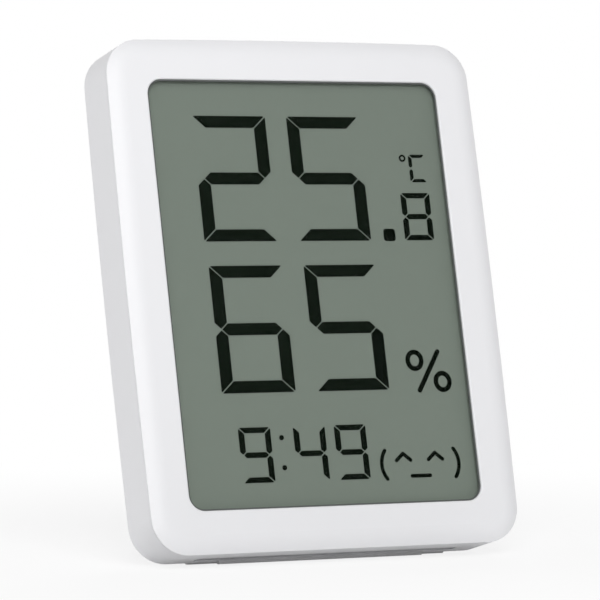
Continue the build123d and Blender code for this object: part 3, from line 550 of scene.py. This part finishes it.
@dataclass(frozen=True)
class FoamSponge(Finish):
    """Closed-cell foam with open cells on its cut faces."""

    grain: float = 3.2
    depth: float = 0.0001
    tones: Pair = (0.5, 1.4)
    reflection: float = 0.2

    def shader(self, graph: Graph, at: Socket) -> Socket:
        """Round pores in the bump, with painted shade that darkens them in the colour."""
        pores = graph.cells(at, self.grain)
        # Painted shade: the colour darkens towards the middle of each pore
        return self.surface(graph, self.tinted(graph, pores.ramp(0.1, 0.6)), self.roughness, pores)


@dataclass(frozen=True)
class WovenMesh(Finish):
    """Woven dust mesh: two sets of threads, with painted shade in the gaps between them.

    Attributes:
        pitch: Distance between threads in millimetres.
    """

    depth: float = 0.00006
    uneven: float = 0.15
    tones: Pair = (0.25, 1.2)
    pitch: float = 0.28

    def shader(self, graph: Graph, at: Socket) -> Socket:
        """Thread height from two sine waves that pass over and under each other; the colour darkens with it
        as painted shade.
        """
        x, y, _ = graph.axes(at)
        warp = x.wave(self.pitch)
        weft = y.wave(self.pitch)
        over = (x.wave(2 * self.pitch) + y.wave(2 * self.pitch)) * 0.5
        thread = warp.math("MAXIMUM", weft) * (0.75 + over * 0.25)
        # Painted shade: the colour is darker where the threads lie low, in the gaps and where one passes
        # under another
        return self.surface(graph, self.tinted(graph, thread.ramp(0.45, 0.95)),
                            self.roughness - thread * self.uneven, thread)


@dataclass(frozen=True)
class CircuitBoard(Finish):
    """Green solder mask over copper tracks on glass cloth.

    Attributes:
        copper: Colour of the mask over copper.
        track_pitch: Distance between tracks in millimetres.
        cloth_pitch: Distance between the cloth's threads.
        coat: Share of the mask's clear coat.
        coat_roughness: Roughness of that coat.
    """

    grain: float = 0.16
    depth: float = 0.00003
    uneven: float = 0.08
    second: float = 0.07
    copper: Colour = (0.04, 0.25, 0.11)
    track_pitch: float = 0.9
    cloth_pitch: float = 0.5
    coat: float = 0.3
    coat_roughness: float = 0.15

    def shader(self, graph: Graph, at: Socket) -> Socket:
        """Tracks that run along one axis or the other in patches, and the cloth's faint weave."""
        x, _, z = graph.axes(at)
        patch = graph.noise(at, self.second, detail=0.0).over(0.5)
        bundle = graph.noise(at, self.grain, detail=1.0).over(0.47)
        upright, level = (part.wave(self.track_pitch).over(0.7) for part in (x, z))
        tracks = (upright * patch + level * (1.0 - patch)) * bundle
        weave = (x.wave(self.cloth_pitch) + z.wave(self.cloth_pitch)) * 0.5
        return self.surface(graph, graph.mixed(tracks, self.colour, self.copper),
                            self.roughness + weave * self.uneven, tracks * 0.8 + weave * 0.2,
                            **{"Coat Weight": self.coat, "Coat Roughness": self.coat_roughness})


@dataclass(frozen=True)
class FiredCeramic(Finish):
    """Fired ceramic or moulded epoxy body of a small part."""

    grain: float = 8.0
    tones: Pair = (0.7, 1.3)

    def shader(self, graph: Graph, at: Socket) -> Socket:
        """Speckled body."""
        grain = graph.noise(at, self.grain, detail=3.0)
        return self.surface(graph, self.tinted(graph, grain), self.rough(grain), grain)


# Shapes of the moulded marks


@dataclass
class Relief:
    """A low raised mark, drawn flat on a face of the body and then lifted from it.

    The mark is drawn in millimetres in X and Z, seen from the front, with Y along the lift.

    Attributes:
        face: Y of the face that the mark stands on.
        height: How far it stands out.
        sunk: How far it reaches into the face, so that no gap shows.
        rim: Radius of the softened rim of all its shapes but dots.
        dot_sides: Sides of a dot.
        ring_sides: Sides of a ring.
        arc_steps: Steps of an arc.
        end_share: Radius of a bar's round ends as a share of its width, just short of a half.
        end_steps: Steps of each of those ends' corners.
        mesh: The mesh under construction.
    """

    face: float
    height: float
    sunk: float = 0.05
    rim: float = 0.06
    dot_sides: int = 28
    ring_sides: int = 36
    arc_steps: int = 16
    end_share: float = 0.49
    end_steps: int = 5
    mesh: bmesh.types.BMesh = field(default_factory=bmesh.new)

    def laid(self, x: float, z: float, turn: float = 0.0) -> Matrix:
        """Matrix that lays a shape drawn in X and Y on the face, turned and shifted."""
        upright = Matrix.Rotation(math.radians(90.0), 4, "X")
        return Matrix.Translation((x, self.face - self.sunk, z)) @ Matrix.Rotation(-turn, 4, "Y") @ upright

    def lift(self, faces: list[bmesh.types.BMFace], rounding: float) -> None:
        """Give flat faces their height and soften the upper rim.

        Args:
            faces: Faces drawn on the body's face.
            rounding: Radius of the softened rim in millimetres.
        """
        flat = bmesh.ops.extrude_face_region(self.mesh, geom=faces)["geom"]
        raised = [part for part in flat if isinstance(part, bmesh.types.BMVert)]
        bmesh.ops.translate(self.mesh, verts=raised, vec=(0.0, self.height + self.sunk, 0.0))
        tops = [part for part in flat if isinstance(part, bmesh.types.BMFace)]
        inner = {edge for face in tops for edge in face.edges
                 if sum(other in tops for other in edge.link_faces) == 2}
        rim = [edge for face in tops for edge in face.edges if edge not in inner]
        bmesh.ops.bevel(self.mesh, geom=list(set(rim)), offset=rounding, segments=2, profile=0.5,
                        affect="EDGES", material=-1)

    def dot(self, x: float, z: float, radius: float, rounding: float) -> None:
        """Add a round dot with a softened rim."""
        drawn = bmesh.ops.create_circle(self.mesh, cap_ends=True, segments=self.dot_sides, radius=radius,
                                        matrix=self.laid(x, z))["verts"]
        self.lift(list({face for vert in drawn for face in vert.link_faces}), rounding)

    def ring(self, x: float, z: float, outer: float, inner: float) -> None:
        """Add a ring.

        Args:
            x: Middle along X.
            z: Middle along Z.
            outer: Its outer radius.
            inner: Its inner radius.
        """
        laid = self.laid(x, z)
        loops = [bmesh.ops.create_circle(self.mesh, segments=self.ring_sides, radius=radius,
                                         matrix=laid)["verts"] for radius in (outer, inner)]
        edges = list({edge for loop in loops for vert in loop for edge in vert.link_edges})
        self.lift(bmesh.ops.bridge_loops(self.mesh, edges=edges)["faces"], self.rim)

    def bar(self, x: float, z: float, length: float, width: float, turn: float = 0.0) -> None:
        """Add a bar with round ends.

        Args:
            x: Middle along X.
            z: Middle along Z.
            length: Length with its ends.
            width: Width.
            turn: Angle from the X axis, in radians.
        """
        size = Matrix.Diagonal((length / 2, width / 2, 1.0, 1.0))
        drawn = bmesh.ops.create_grid(self.mesh, x_segments=1, y_segments=1, size=1.0,
                                      matrix=self.laid(x, z, turn) @ size)["verts"]
        made = bmesh.ops.bevel(self.mesh, geom=drawn, offset=width * self.end_share,
                               segments=self.end_steps, profile=0.5, affect="VERTICES", material=-1)
        self.lift(made["faces"], self.rim)

    def arrowhead(self, x: float, z: float, size: float, turn: float) -> None:
        """Add a triangle that points along an angle from the X axis."""
        drawn = bmesh.ops.create_circle(self.mesh, cap_ends=True, segments=3, radius=size,
                                        matrix=self.laid(x, z, turn - math.radians(90.0)))["verts"]
        self.lift(list({face for vert in drawn for face in vert.link_faces}), self.rim)

    def arc(self, x: float, z: float, radius: float, width: float, start: float, sweep: float) -> None:
        """Add part of a ring.

        Args:
            x: Middle of the ring along X.
            z: Middle of the ring along Z.
            radius: Mean radius.
            width: Width of the stroke.
            start: Angle of its start from the X axis, in radians.
            sweep: Angle from its start to its end, in radians.
        """
        level = self.face - self.sunk
        ray = Vector((math.cos(start), 0.0, math.sin(start)))
        centre = Vector((x, level, z))
        ends = [self.mesh.verts.new(centre + ray * (radius + side * width / 2)) for side in (-1, 1)]
        edge = self.mesh.edges.new(ends)
        before = set(self.mesh.faces)
        bmesh.ops.spin(self.mesh, geom=[edge], cent=centre, axis=(0.0, -1.0, 0.0), angle=sweep,
                       steps=self.arc_steps, use_duplicate=False)
        self.lift([face for face in self.mesh.faces if face not in before], self.rim)


@dataclass
class Piece:
    """A new visible piece that rides on a body and has its own finish.

    Attributes:
        name: Name of the piece.
        body: Body that it moves with.
        slot: Material slot that its finish stands for; not used.
        finish: Its finish.
    """

    name: str
    body: str
    slot: str
    finish: Finish

    def make(self, mesh: bmesh.types.BMesh, placing: Placing = POSTURE.body()) -> bpy.types.Object:
        """Turn a mesh drawn in millimetres along a placing's axes into the piece.

        Args:
            mesh: The mesh, which is freed.
            placing: Axes that it was drawn along, if not the body's.

        Returns:
            The piece's object.
        """
        bmesh.ops.remove_doubles(mesh, verts=mesh.verts, dist=WELD)
        bmesh.ops.recalc_face_normals(mesh, faces=mesh.faces)
        mesh.transform(placing.matrix() @ Matrix.Scale(MM, 4))
        data = bpy.data.meshes.new(self.name)
        mesh.to_mesh(data)
        mesh.free()
        data.shade_smooth()
        data.set_sharp_from_angle(angle=SHARP)
        data.materials.append(self.finish.material())
        made = bpy.data.objects.new(self.name, data)
        bpy.context.scene.collection.objects.link(made)
        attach(made, self.body)
        log.info("%s: %d faces on %s", self.name, len(data.polygons), self.body)
        return made


def dress(finishes: dict[str, Finish]) -> None:
    """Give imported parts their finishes.

    Args:
        finishes: Finish of each part by the part's name.
    """
    for name, finish in finishes.items():
        for place in frame["nodes"][name].material_slots:
            place.material = finish.material()
        log.info("%s: %s", name, finish.name)


# Sub-assemblies


class Sign(Enum):
    """What a sign beside a button shows."""

    SWAP = "swap"
    CLOCK = "clock"


@dataclass
class Housing:
    """White front and rear housing with screws, hinge pin, rubber strips and dust mesh.

    Attributes:
        back: Distance from the bezel's face to the back face, in millimetres.
        white: Finish of the moulded housing.
    """

    back: float = 14.3
    white: Finish = MouldedPlastic("white_moulding", (0.833, 0.833, 0.852), 0.46)

    def build(self) -> None:
        """Dress the housing's parts."""
        steel = PlatedMetal("zinc_steel", (0.62, 0.62, 0.60), 0.32)
        pin = PlatedMetal("drawn_pin", (0.60, 0.60, 0.60), 0.25, stretch=(0.08, 1.0, 1.0))
        rubber = SoftRubber("grey_rubber_skin", (0.69, 0.69, 0.70), 0.78, tones=(0.9712, 1.08))
        mesh = WovenMesh("dust_mesh_weave", (0.035, 0.035, 0.038), 0.6)
        dress({"front_housing": self.white, "rear_housing": self.white, "housing_screws": steel,
               "hinge_pin": pin, "rubber_strips": rubber, "vent_mesh": mesh})


@dataclass
class Display:
    """Liquid crystal display behind its window, from the lens to the carrier.

    The film is bonded to the front glass, so both are one clear piece with a step round the film.
    Lengths are in millimetres.

    Attributes:
        ground: Colour of the display's ground.
        ink: Colour of its dark segments.
        glass_half_width: Half the front glass's width.
        glass_bottom: Lowest edge of the front glass.
        glass_top: Highest edge of the front glass.
        glass_front: Y of the glass's front face.
        glass_back: Y of the glass's back face.
        ledge_top: Height that the ledge for the contacts reaches.
        film_inset: How far the film stays inside the glass.
        film_thickness: Thickness of the film.
    """

    ground: Colour = (0.216, 0.255, 0.217)
    ink: Colour = (0.0006, 0.0032, 0.0008)
    glass_half_width: float = 36.1
    glass_bottom: float = 5.95
    glass_top: float = 103.85
    glass_front: float = 1.45
    glass_back: float = 1.85
    ledge_top: float = 8.75
    film_inset: float = 0.4
    film_thickness: float = 0.15

    def build(self) -> None:
        """Dress the display's layers."""
        lens = ClearSheet("window_sheet", (0.003, 0.006, 0.003), 0.16, alpha=0.025)
        ground = DisplayGround("display_ground", self.ground, 0.62)
        ink = SegmentInk("segment_black", self.ink, 0.6)
        tape = SoftRubber("black_tape_film", (0.10, 0.108, 0.104), 0.7, tones=(0.928, 1.2))
        seal = MouldedPlastic("seal_resin", (0.55, 0.56, 0.50), 0.35)
        carrier = MouldedPlastic("carrier_moulding", (0.78, 0.78, 0.76), 0.5)
        zebra = SoftRubber("striped_rubber", (0.2, 0.2, 0.22), 0.7, ribs=0.36)
        segments = {part + "_segments": ink for part in ("temperature", "humidity", "time", "comfort")}
        dress({"window_lens": lens, "lcd_rear_glass": ground, "rear_reflector": ground, "lens_tape": tape,
               "lcd_edge_seal": seal, "lcd_carrier": carrier, "contact_strip": zebra, **segments})
        self.front_cell()

    def front_cell(self) -> None:
        """Make the front glass with its film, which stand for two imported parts."""
        film = ClearSheet("cell_glass", (0.006, 0.010, 0.008), 0.3, alpha=0.01)
        dress({"front_polariser": film, "lcd_front_glass": film})
        mesh = bmesh.new()
        size = (2 * self.glass_half_width, self.glass_back - self.glass_front,
                self.glass_top - self.glass_bottom)
        middle = (0.0, (self.glass_back + self.glass_front) / 2, (self.glass_top + self.glass_bottom) / 2)
        stretched = Matrix.Translation(middle) @ Matrix.Diagonal((*size, 1.0))
        bmesh.ops.create_cube(mesh, size=1.0, matrix=stretched)
        bmesh.ops.bisect_plane(mesh, geom=[*mesh.verts, *mesh.edges, *mesh.faces],
                               plane_co=(0.0, 0.0, self.ledge_top), plane_no=(0.0, 0.0, 1.0))
        front = max((face for face in mesh.faces if face.normal.y < -0.9),
                    key=lambda face: face.calc_center_median().z)
        bmesh.ops.inset_region(mesh, faces=[front], thickness=self.film_inset, use_even_offset=True)
        raised = bmesh.ops.extrude_face_region(mesh, geom=[front])["geom"]
        bmesh.ops.translate(mesh, verts=[part for part in raised if isinstance(part, bmesh.types.BMVert)],
                            vec=(0.0, -self.film_thickness, 0.0))
        bmesh.ops.delete(mesh, geom=[front], context="FACES")
        made = Piece("display_front_cell", "housing", "thin_glass", film).make(mesh)
        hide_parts("front_polariser", "lcd_front_glass")


@dataclass
class Electronics:
    """Board with its chips, small parts and screws, and the sensing chip in its foam duct.

    Attributes:
        mask: Colour of the board's solder mask.
    """

    mask: Colour = (0.015, 0.13, 0.055)

    def build(self) -> None:
        """Dress the board and what stands on it."""
        steel = PlatedMetal("fine_screw_steel", (0.58, 0.58, 0.57), 0.35)
        epoxy = FiredCeramic("chip_epoxy", (0.022, 0.022, 0.024), 0.5)
        ceramic = FiredCeramic("tan_ceramic", (0.42, 0.30, 0.19), 0.55, tones=(0.85, 1.15))
        can = PlatedMetal("crystal_can", (0.75, 0.75, 0.74), 0.18, stretch=(0.1, 1.0, 1.0))
        foam = FoamSponge("gasket_foam", (0.025, 0.025, 0.027), 0.9)
        switch = MouldedPlastic("switch_moulding", (0.05, 0.05, 0.052), 0.45)
        dress({"main_board": CircuitBoard("green_mask", self.mask, 0.32), "board_screws": steel,
               "microcontroller": epoxy, "humidity_sensor": epoxy, "board_resistors": epoxy,
               "board_capacitors": ceramic, "clock_crystal": can, "sensor_gasket": foam,
               "mode_switch_body": switch, "set_switch_body": switch,
               "mode_switch_plunger": switch, "set_switch_plunger": switch})


@dataclass
class BatteryBay:
    """Coin cell with its contacts under the quarter-turn cover, and the marks round the cover.

    Lengths are in millimetres.

    Attributes:
        housing: Housing that the bay is in.
        x: Middle of the cover along X.
        z: Middle of the cover along Z.
        turn: Angle from the locked to the open place, in radians.
        mark_radius: Radius that the marks round the cover stand at.
        relief: Height of those marks.
        dot: Radius of the dot at the locked place.
        dot_rim: Radius of its softened rim.
        ring: Outer and inner radius of the ring at the open place.
        arrow: Start and end of the arrow between them, as shares of the turn.
        shaft: Width of the arrow's shaft.
        head: Size of the arrow's head.
        cover_face: Y of the cover's face.
        cover_relief: Height of the marks on the cover.
        pointer_radius: Radius that the cover's own pointer stands at.
        pointer: Size of the pointer.
        plus_radius: Radius that the plus sign stands at.
        plus_ring: Outer and inner radius of the ring round the plus sign.
        plus_bar: Length and width of its level bar.
        plus_arm: Length of each half of its upright bar.
    """

    housing: Housing
    x: float = -22.0
    z: float = 89.0
    turn: float = math.radians(joint("cover_turn")["range_deg"][1])
    mark_radius: float = 17.0
    relief: float = 0.18
    dot: float = 0.8
    dot_rim: float = 0.07
    ring: Pair = (0.85, 0.45)
    arrow: Pair = (0.2, 0.72)
    shaft: float = 0.45
    head: float = 0.8
    cover_face: float = 14.15
    cover_relief: float = 0.13
    pointer_radius: float = 12.3
    pointer: float = 0.9
    plus_radius: float = 7.6
    plus_ring: Pair = (2.3, 1.95)
    plus_bar: Pair = (2.2, 0.5)
    plus_arm: float = 0.8

    def build(self) -> None:
        """Dress the bay's parts and make its marks."""
        can = PlatedMetal("cell_steel", (0.70, 0.69, 0.67), 0.28)
        leaf = PlatedMetal("contact_leaf", (0.72, 0.68, 0.60), 0.3, stretch=(0.15, 1.0, 1.0))
        foam = FoamSponge("cover_foam", (0.03, 0.03, 0.03), 0.9)
        dress({"battery_cover": self.housing.white, "coin_cell": can, "negative_contact": leaf,
               "positive_contact": leaf, "cover_pad": foam})
        self.lock_marks()
        self.cover_marks()

    def around(self, angle: float, radius: float) -> Pair:
        """Place round the cover's middle, by an angle from the top towards positive X."""
        return self.x + radius * math.sin(angle), self.z + radius * math.cos(angle)

    def lock_marks(self) -> None:
        """Dot for locked, ring for open, and an arrow between them."""
        relief = Relief(self.housing.back, self.relief)
        relief.dot(*self.around(0.0, self.mark_radius), self.dot, self.dot_rim)
        relief.ring(*self.around(self.turn, self.mark_radius), *self.ring)
        start, end = (self.turn * share for share in self.arrow)
        relief.arc(self.x, self.z, self.mark_radius, self.shaft, math.pi / 2 - start, start - end)
        relief.arrowhead(*self.around(end, self.mark_radius), self.head, -end)
        Piece("cover_lock_marks", "housing", "white_plastic", self.housing.white).make(relief.mesh)

    def cover_marks(self) -> None:
        """Pointer and plus sign on the cover, which turn with it."""
        white = self.housing.white
        relief = Relief(self.cover_face, self.cover_relief)
        relief.arrowhead(*self.around(0.0, self.pointer_radius), self.pointer, math.pi / 2)
        Piece("cover_pointer", "cover", "white_plastic", white).make(relief.mesh)
        plus = Relief(self.cover_face, self.cover_relief)
        x, z = self.around(math.pi, self.plus_radius)
        length, width = self.plus_bar
        plus.ring(x, z, *self.plus_ring)
        plus.bar(x, z, length, width)
        for side in (1, -1):
            plus.bar(x, z + side * (length - self.plus_arm) / 2, self.plus_arm, width, math.pi / 2)
        Piece("cover_plus_sign", "cover", "white_plastic", white).make(plus.mesh)


@dataclass
class Buttons:
    """Two push buttons on the back, each with a touch dot and a sign beside it.

    Lengths are in millimetres.

    Attributes:
        housing: Housing that the buttons are in.
        x: Middle of the buttons along X.
        heights: Middle along Z and sign of each button.
        face: Y of the buttons' faces.
        dot: Radius of a touch dot.
        dot_rim: Radius of its softened rim.
        dot_relief: Height of the dots.
        sign_x: Middle of the signs along X.
        relief: Height of the signs.
        clock_ring: Outer and inner radius of the clock's edge.
        minute_hand: Length and width of the clock's upright hand.
        minute_rise: Height of that hand's middle over the clock's.
        hour_hand: Length and width of its level hand, which starts at the clock's middle.
        hour_drop: How far that hand lies below the clock's middle.
        arrow_rise: How far each arrow of the other sign lies above or below its middle.
        shaft: Length and width of an arrow's shaft.
        shaft_back: How far the shaft's middle stays behind the sign's.
        head: Size of an arrow's head.
        head_ahead: How far the head's middle is ahead of the sign's.
    """

    housing: Housing
    x: float = 24.08
    heights: dict[str, tuple[float, Sign]] = field(
        default_factory=lambda: {"mode": (96.0, Sign.SWAP), "set": (80.0, Sign.CLOCK)})
    face: float = 14.1
    dot: float = 0.65
    dot_rim: float = 0.1
    dot_relief: float = 0.14
    sign_x: float = 31.3
    relief: float = 0.16
    clock_ring: Pair = (1.9, 1.5)
    minute_hand: Pair = (1.1, 0.34)
    minute_rise: float = 0.45
    hour_hand: Pair = (0.84, 0.3)
    hour_drop: float = 0.12
    arrow_rise: float = 0.75
    shaft: Pair = (2.7, 0.36)
    shaft_back: float = 0.35
    head: float = 0.62
    head_ahead: float = 1.3

    def build(self) -> None:
        """Dress the buttons and make their dots and signs."""
        grey = MouldedPlastic("button_moulding", (0.74, 0.745, 0.755), 0.4, grain=9.0)
        for name, (height, sign) in self.heights.items():
            body = name + "_button"
            dress({body: grey})
            dot = Relief(self.face, self.dot_relief)
            dot.dot(self.x, height, self.dot, self.dot_rim)
            Piece(name + "_touch_dot", body, "button_plastic", grey).make(dot.mesh)
            drawn = Relief(self.housing.back, self.relief)
            self.draw(drawn, sign, height)
            Piece(name + "_sign", "housing", "white_plastic", self.housing.white).make(drawn.mesh)

    def draw(self, relief: Relief, sign: Sign, height: float) -> None:
        """Draw a sign.

        Args:
            relief: The mark that it is drawn in.
            sign: What it shows.
            height: Its middle along Z.
        """
        x = self.sign_x
        if sign is Sign.CLOCK:
            relief.ring(x, height, *self.clock_ring)
            relief.bar(x, height + self.minute_rise, *self.minute_hand, math.pi / 2)
            relief.bar(x + self.hour_hand[0] / 2, height - self.hour_drop, *self.hour_hand)
            return
        for side in (-1, 1):
            level = height + side * self.arrow_rise
            relief.bar(x - side * self.shaft_back, level, *self.shaft)
            relief.arrowhead(x + side * self.head_ahead, level, self.head, 0.0 if side > 0 else math.pi)


@dataclass
class Stand:
    """Fold-out stand with its rubber beads and the grip ribs above its finger notch.

    Lengths are in millimetres.

    Attributes:
        housing: Housing whose white the stand has.
        face: Y of the stand's outer face when it is folded.
        rib_heights: Middle of each rib along Z.
        rib: Length and width of a rib.
        relief: Height of the ribs.
    """

    housing: Housing
    face: float = 14.2
    rib_heights: tuple[float, ...] = (9.1, 10.5, 11.9)
    rib: Pair = (13.0, 0.6)
    relief: float = 0.22

    def build(self) -> None:
        """Dress the stand and make its ribs."""
        white = self.housing.white
        shell = MouldedPlastic("stand_moulding", white.colour, white.roughness, POSTURE.stand())
        rubber = SoftRubber("bead_rubber_skin", (0.69, 0.69, 0.70), 0.78, POSTURE.stand(),
                            tones=(0.9712, 1.08))
        dress({"stand": shell, "stand_foot_beads": rubber})
        relief = Relief(self.face, self.relief)
        for height in self.rib_heights:
            relief.bar(0.0, height, *self.rib)
        Piece("stand_grip_ribs", "stand", "white_plastic", shell).make(relief.mesh, POSTURE.stand())


# Floor, light and camera


def hang(name: str, data: bpy.types.ID, place: Triple, forward: Vector) -> bpy.types.Object:
    """Put a lamp or a camera into the scene.

    Args:
        name: Its name.
        data: The lamp or the camera.
        place: Where it is.
        forward: Direction that it faces.

    Returns:
        Its object.
    """
    made = bpy.data.objects.new(name, data)
    made.location = place
    made.rotation_mode = "QUATERNION"
    made.rotation_quaternion = forward.to_track_quat("-Z", "Y")
    bpy.context.scene.collection.objects.link(made)
    return made


@dataclass(frozen=True)
class Softbox:
    """Square lamp that faces the sensor.

    Attributes:
        name: Name of the lamp.
        place: Where it is.
        size: Length of its sides.
        power: Its power in watts.
    """

    name: str
    place: Triple
    size: float
    power: float

    def build(self, aim: Vector) -> None:
        """Hang the lamp so that it faces a point.

        Args:
            aim: The point.
        """
        lamp = bpy.data.lights.new(self.name, "AREA")
        lamp.shape = "SQUARE"
        lamp.size = self.size
        lamp.energy = self.power
        hang(self.name, lamp, self.place, aim - Vector(self.place))


@dataclass
class Studio:
    """Pale floor, even light from all sides, softboxes and the camera.

    Attributes:
        camera_place: Where the camera is.
        camera_forward: Direction that it looks in.
        focal_length: Its focal length in millimetres.
        sensor_width: Width of its sensor in millimetres.
        surround: Brightness of the light from all sides.
        floor_radius: Half the floor's side.
        paper: Brightness of the floor's paper.
        paper_roughness: Its roughness.
        near_white: Share of pure white in the floor near the sensor, for what the camera sees.
        fade: Distances from the middle at which that share starts to rise and is complete.
        lamps: The softboxes.
    """

    camera_place: Triple = (-0.39192, -0.77272, 0.07868)
    camera_forward: Triple = (0.451874, 0.891687, -0.026546)
    focal_length: float = 239.58
    sensor_width: float = 36.0
    surround: float = 0.2
    floor_radius: float = 6.0
    paper: float = 0.86
    paper_roughness: float = 0.6
    near_white: float = 0.8
    fade: Pair = (0.05, 0.30)
    lamps: tuple[Softbox, ...] = (
        Softbox("key_softbox", (-0.3, -1.0, 0.38), 0.5, 3.5),
        Softbox("near_softbox", (-0.6, -1.15, 0.36), 0.4, 3.2),
        Softbox("upper_softbox", (-0.15, -0.42, 0.42), 0.3, 0.85),
        Softbox("side_softbox", (-1.0, 0.6, 0.25), 0.5, 3.2),
        Softbox("rear_softbox", (0.8, 1.0, 0.75), 0.6, 10.0),
    )

    def build(self) -> None:
        """Set up the stage."""
        self.light()
        self.floor()
        self.camera()
        bpy.context.scene.view_settings.view_transform = "Standard"

    @staticmethod
    def seen(graph: Graph) -> Signal:
        """Tell what the camera sees from what only lights the scene.

        Args:
            graph: The graph that needs to know.

        Returns:
            1 where the camera looks, straight or by way of a shiny or clear surface, otherwise 0.
        """
        path = graph.node("ShaderNodeLightPath")
        straight, shiny, clear = (Signal(graph, path.outputs[kind])
                                  for kind in ("Is Camera Ray", "Is Glossy Ray", "Is Transmission Ray"))
        return straight.math("MAXIMUM", shiny).math("MAXIMUM", clear)

    def light(self) -> None:
        """Even light from all sides, seen as white, and the softboxes."""
        world = bpy.data.worlds.new("studio")
        world.use_nodes = True
        graph = Graph(world.node_tree)
        seen = self.seen(graph)
        dim = graph.node("ShaderNodeBackground", None, {"Color": WHITE, "Strength": self.surround})
        white = graph.node("ShaderNodeBackground", None, {"Color": WHITE, "Strength": 1.0})
        mixed = graph.node("ShaderNodeMixShader", None, {0: seen, 1: dim.outputs[0], 2: white.outputs[0]})
        graph.node("ShaderNodeOutputWorld", None, {"Surface": mixed.outputs[0]})
        bpy.context.scene.world = world
        aim = (cad_box[0] + cad_box[1]) / 2
        for lamp in self.lamps:
            lamp.build(aim)

    def floor(self) -> None:
        """Pale floor that keeps the sensor's shadow and fades to white away from it."""
        mesh = bmesh.new()
        bmesh.ops.create_grid(mesh, x_segments=1, y_segments=1, size=self.floor_radius)
        data = bpy.data.meshes.new("floor")
        mesh.to_mesh(data)
        mesh.free()
        material = bpy.data.materials.new("pale_floor")
        material.use_nodes = True
        graph = Graph(material.node_tree)
        coordinates = graph.node("ShaderNodeTexCoord")
        x, y, _ = graph.axes(coordinates.outputs["Object"])
        away = (x * x + y * y).math("SQRT").ramp(*self.fade)
        share = self.seen(graph) * (away * (1.0 - self.near_white) + self.near_white)
        grey = (self.paper, self.paper, self.paper)
        paper = graph.node("ShaderNodeBsdfDiffuse", None, {"Color": grey, "Roughness": self.paper_roughness})
        white = graph.node("ShaderNodeEmission", None, {"Color": WHITE, "Strength": 1.0})
        mixed = graph.node("ShaderNodeMixShader", None, {0: share, 1: paper.outputs[0], 2: white.outputs[0]})
        graph.finish(mixed.outputs[0])
        data.materials.append(material)
        made = bpy.data.objects.new("floor", data)
        bpy.context.scene.collection.objects.link(made)

    def camera(self) -> None:
        """Camera at the front left, almost level with the floor."""
        data = bpy.data.cameras.new("camera")
        data.lens = self.focal_length
        data.sensor_width = self.sensor_width
        bpy.context.scene.camera = hang("camera", data, self.camera_place, Vector(self.camera_forward))


def main() -> None:
    """Build and dress each sub-assembly, then the stage."""
    logging.basicConfig(level=logging.INFO, format="%(message)s")
    housing = Housing()
    housing.build()
    Display().build()
    Electronics().build()
    BatteryBay(housing).build()
    Buttons(housing).build()
    Stand(housing).build()
    Studio().build()


if __name__ == "__main__":
    main()
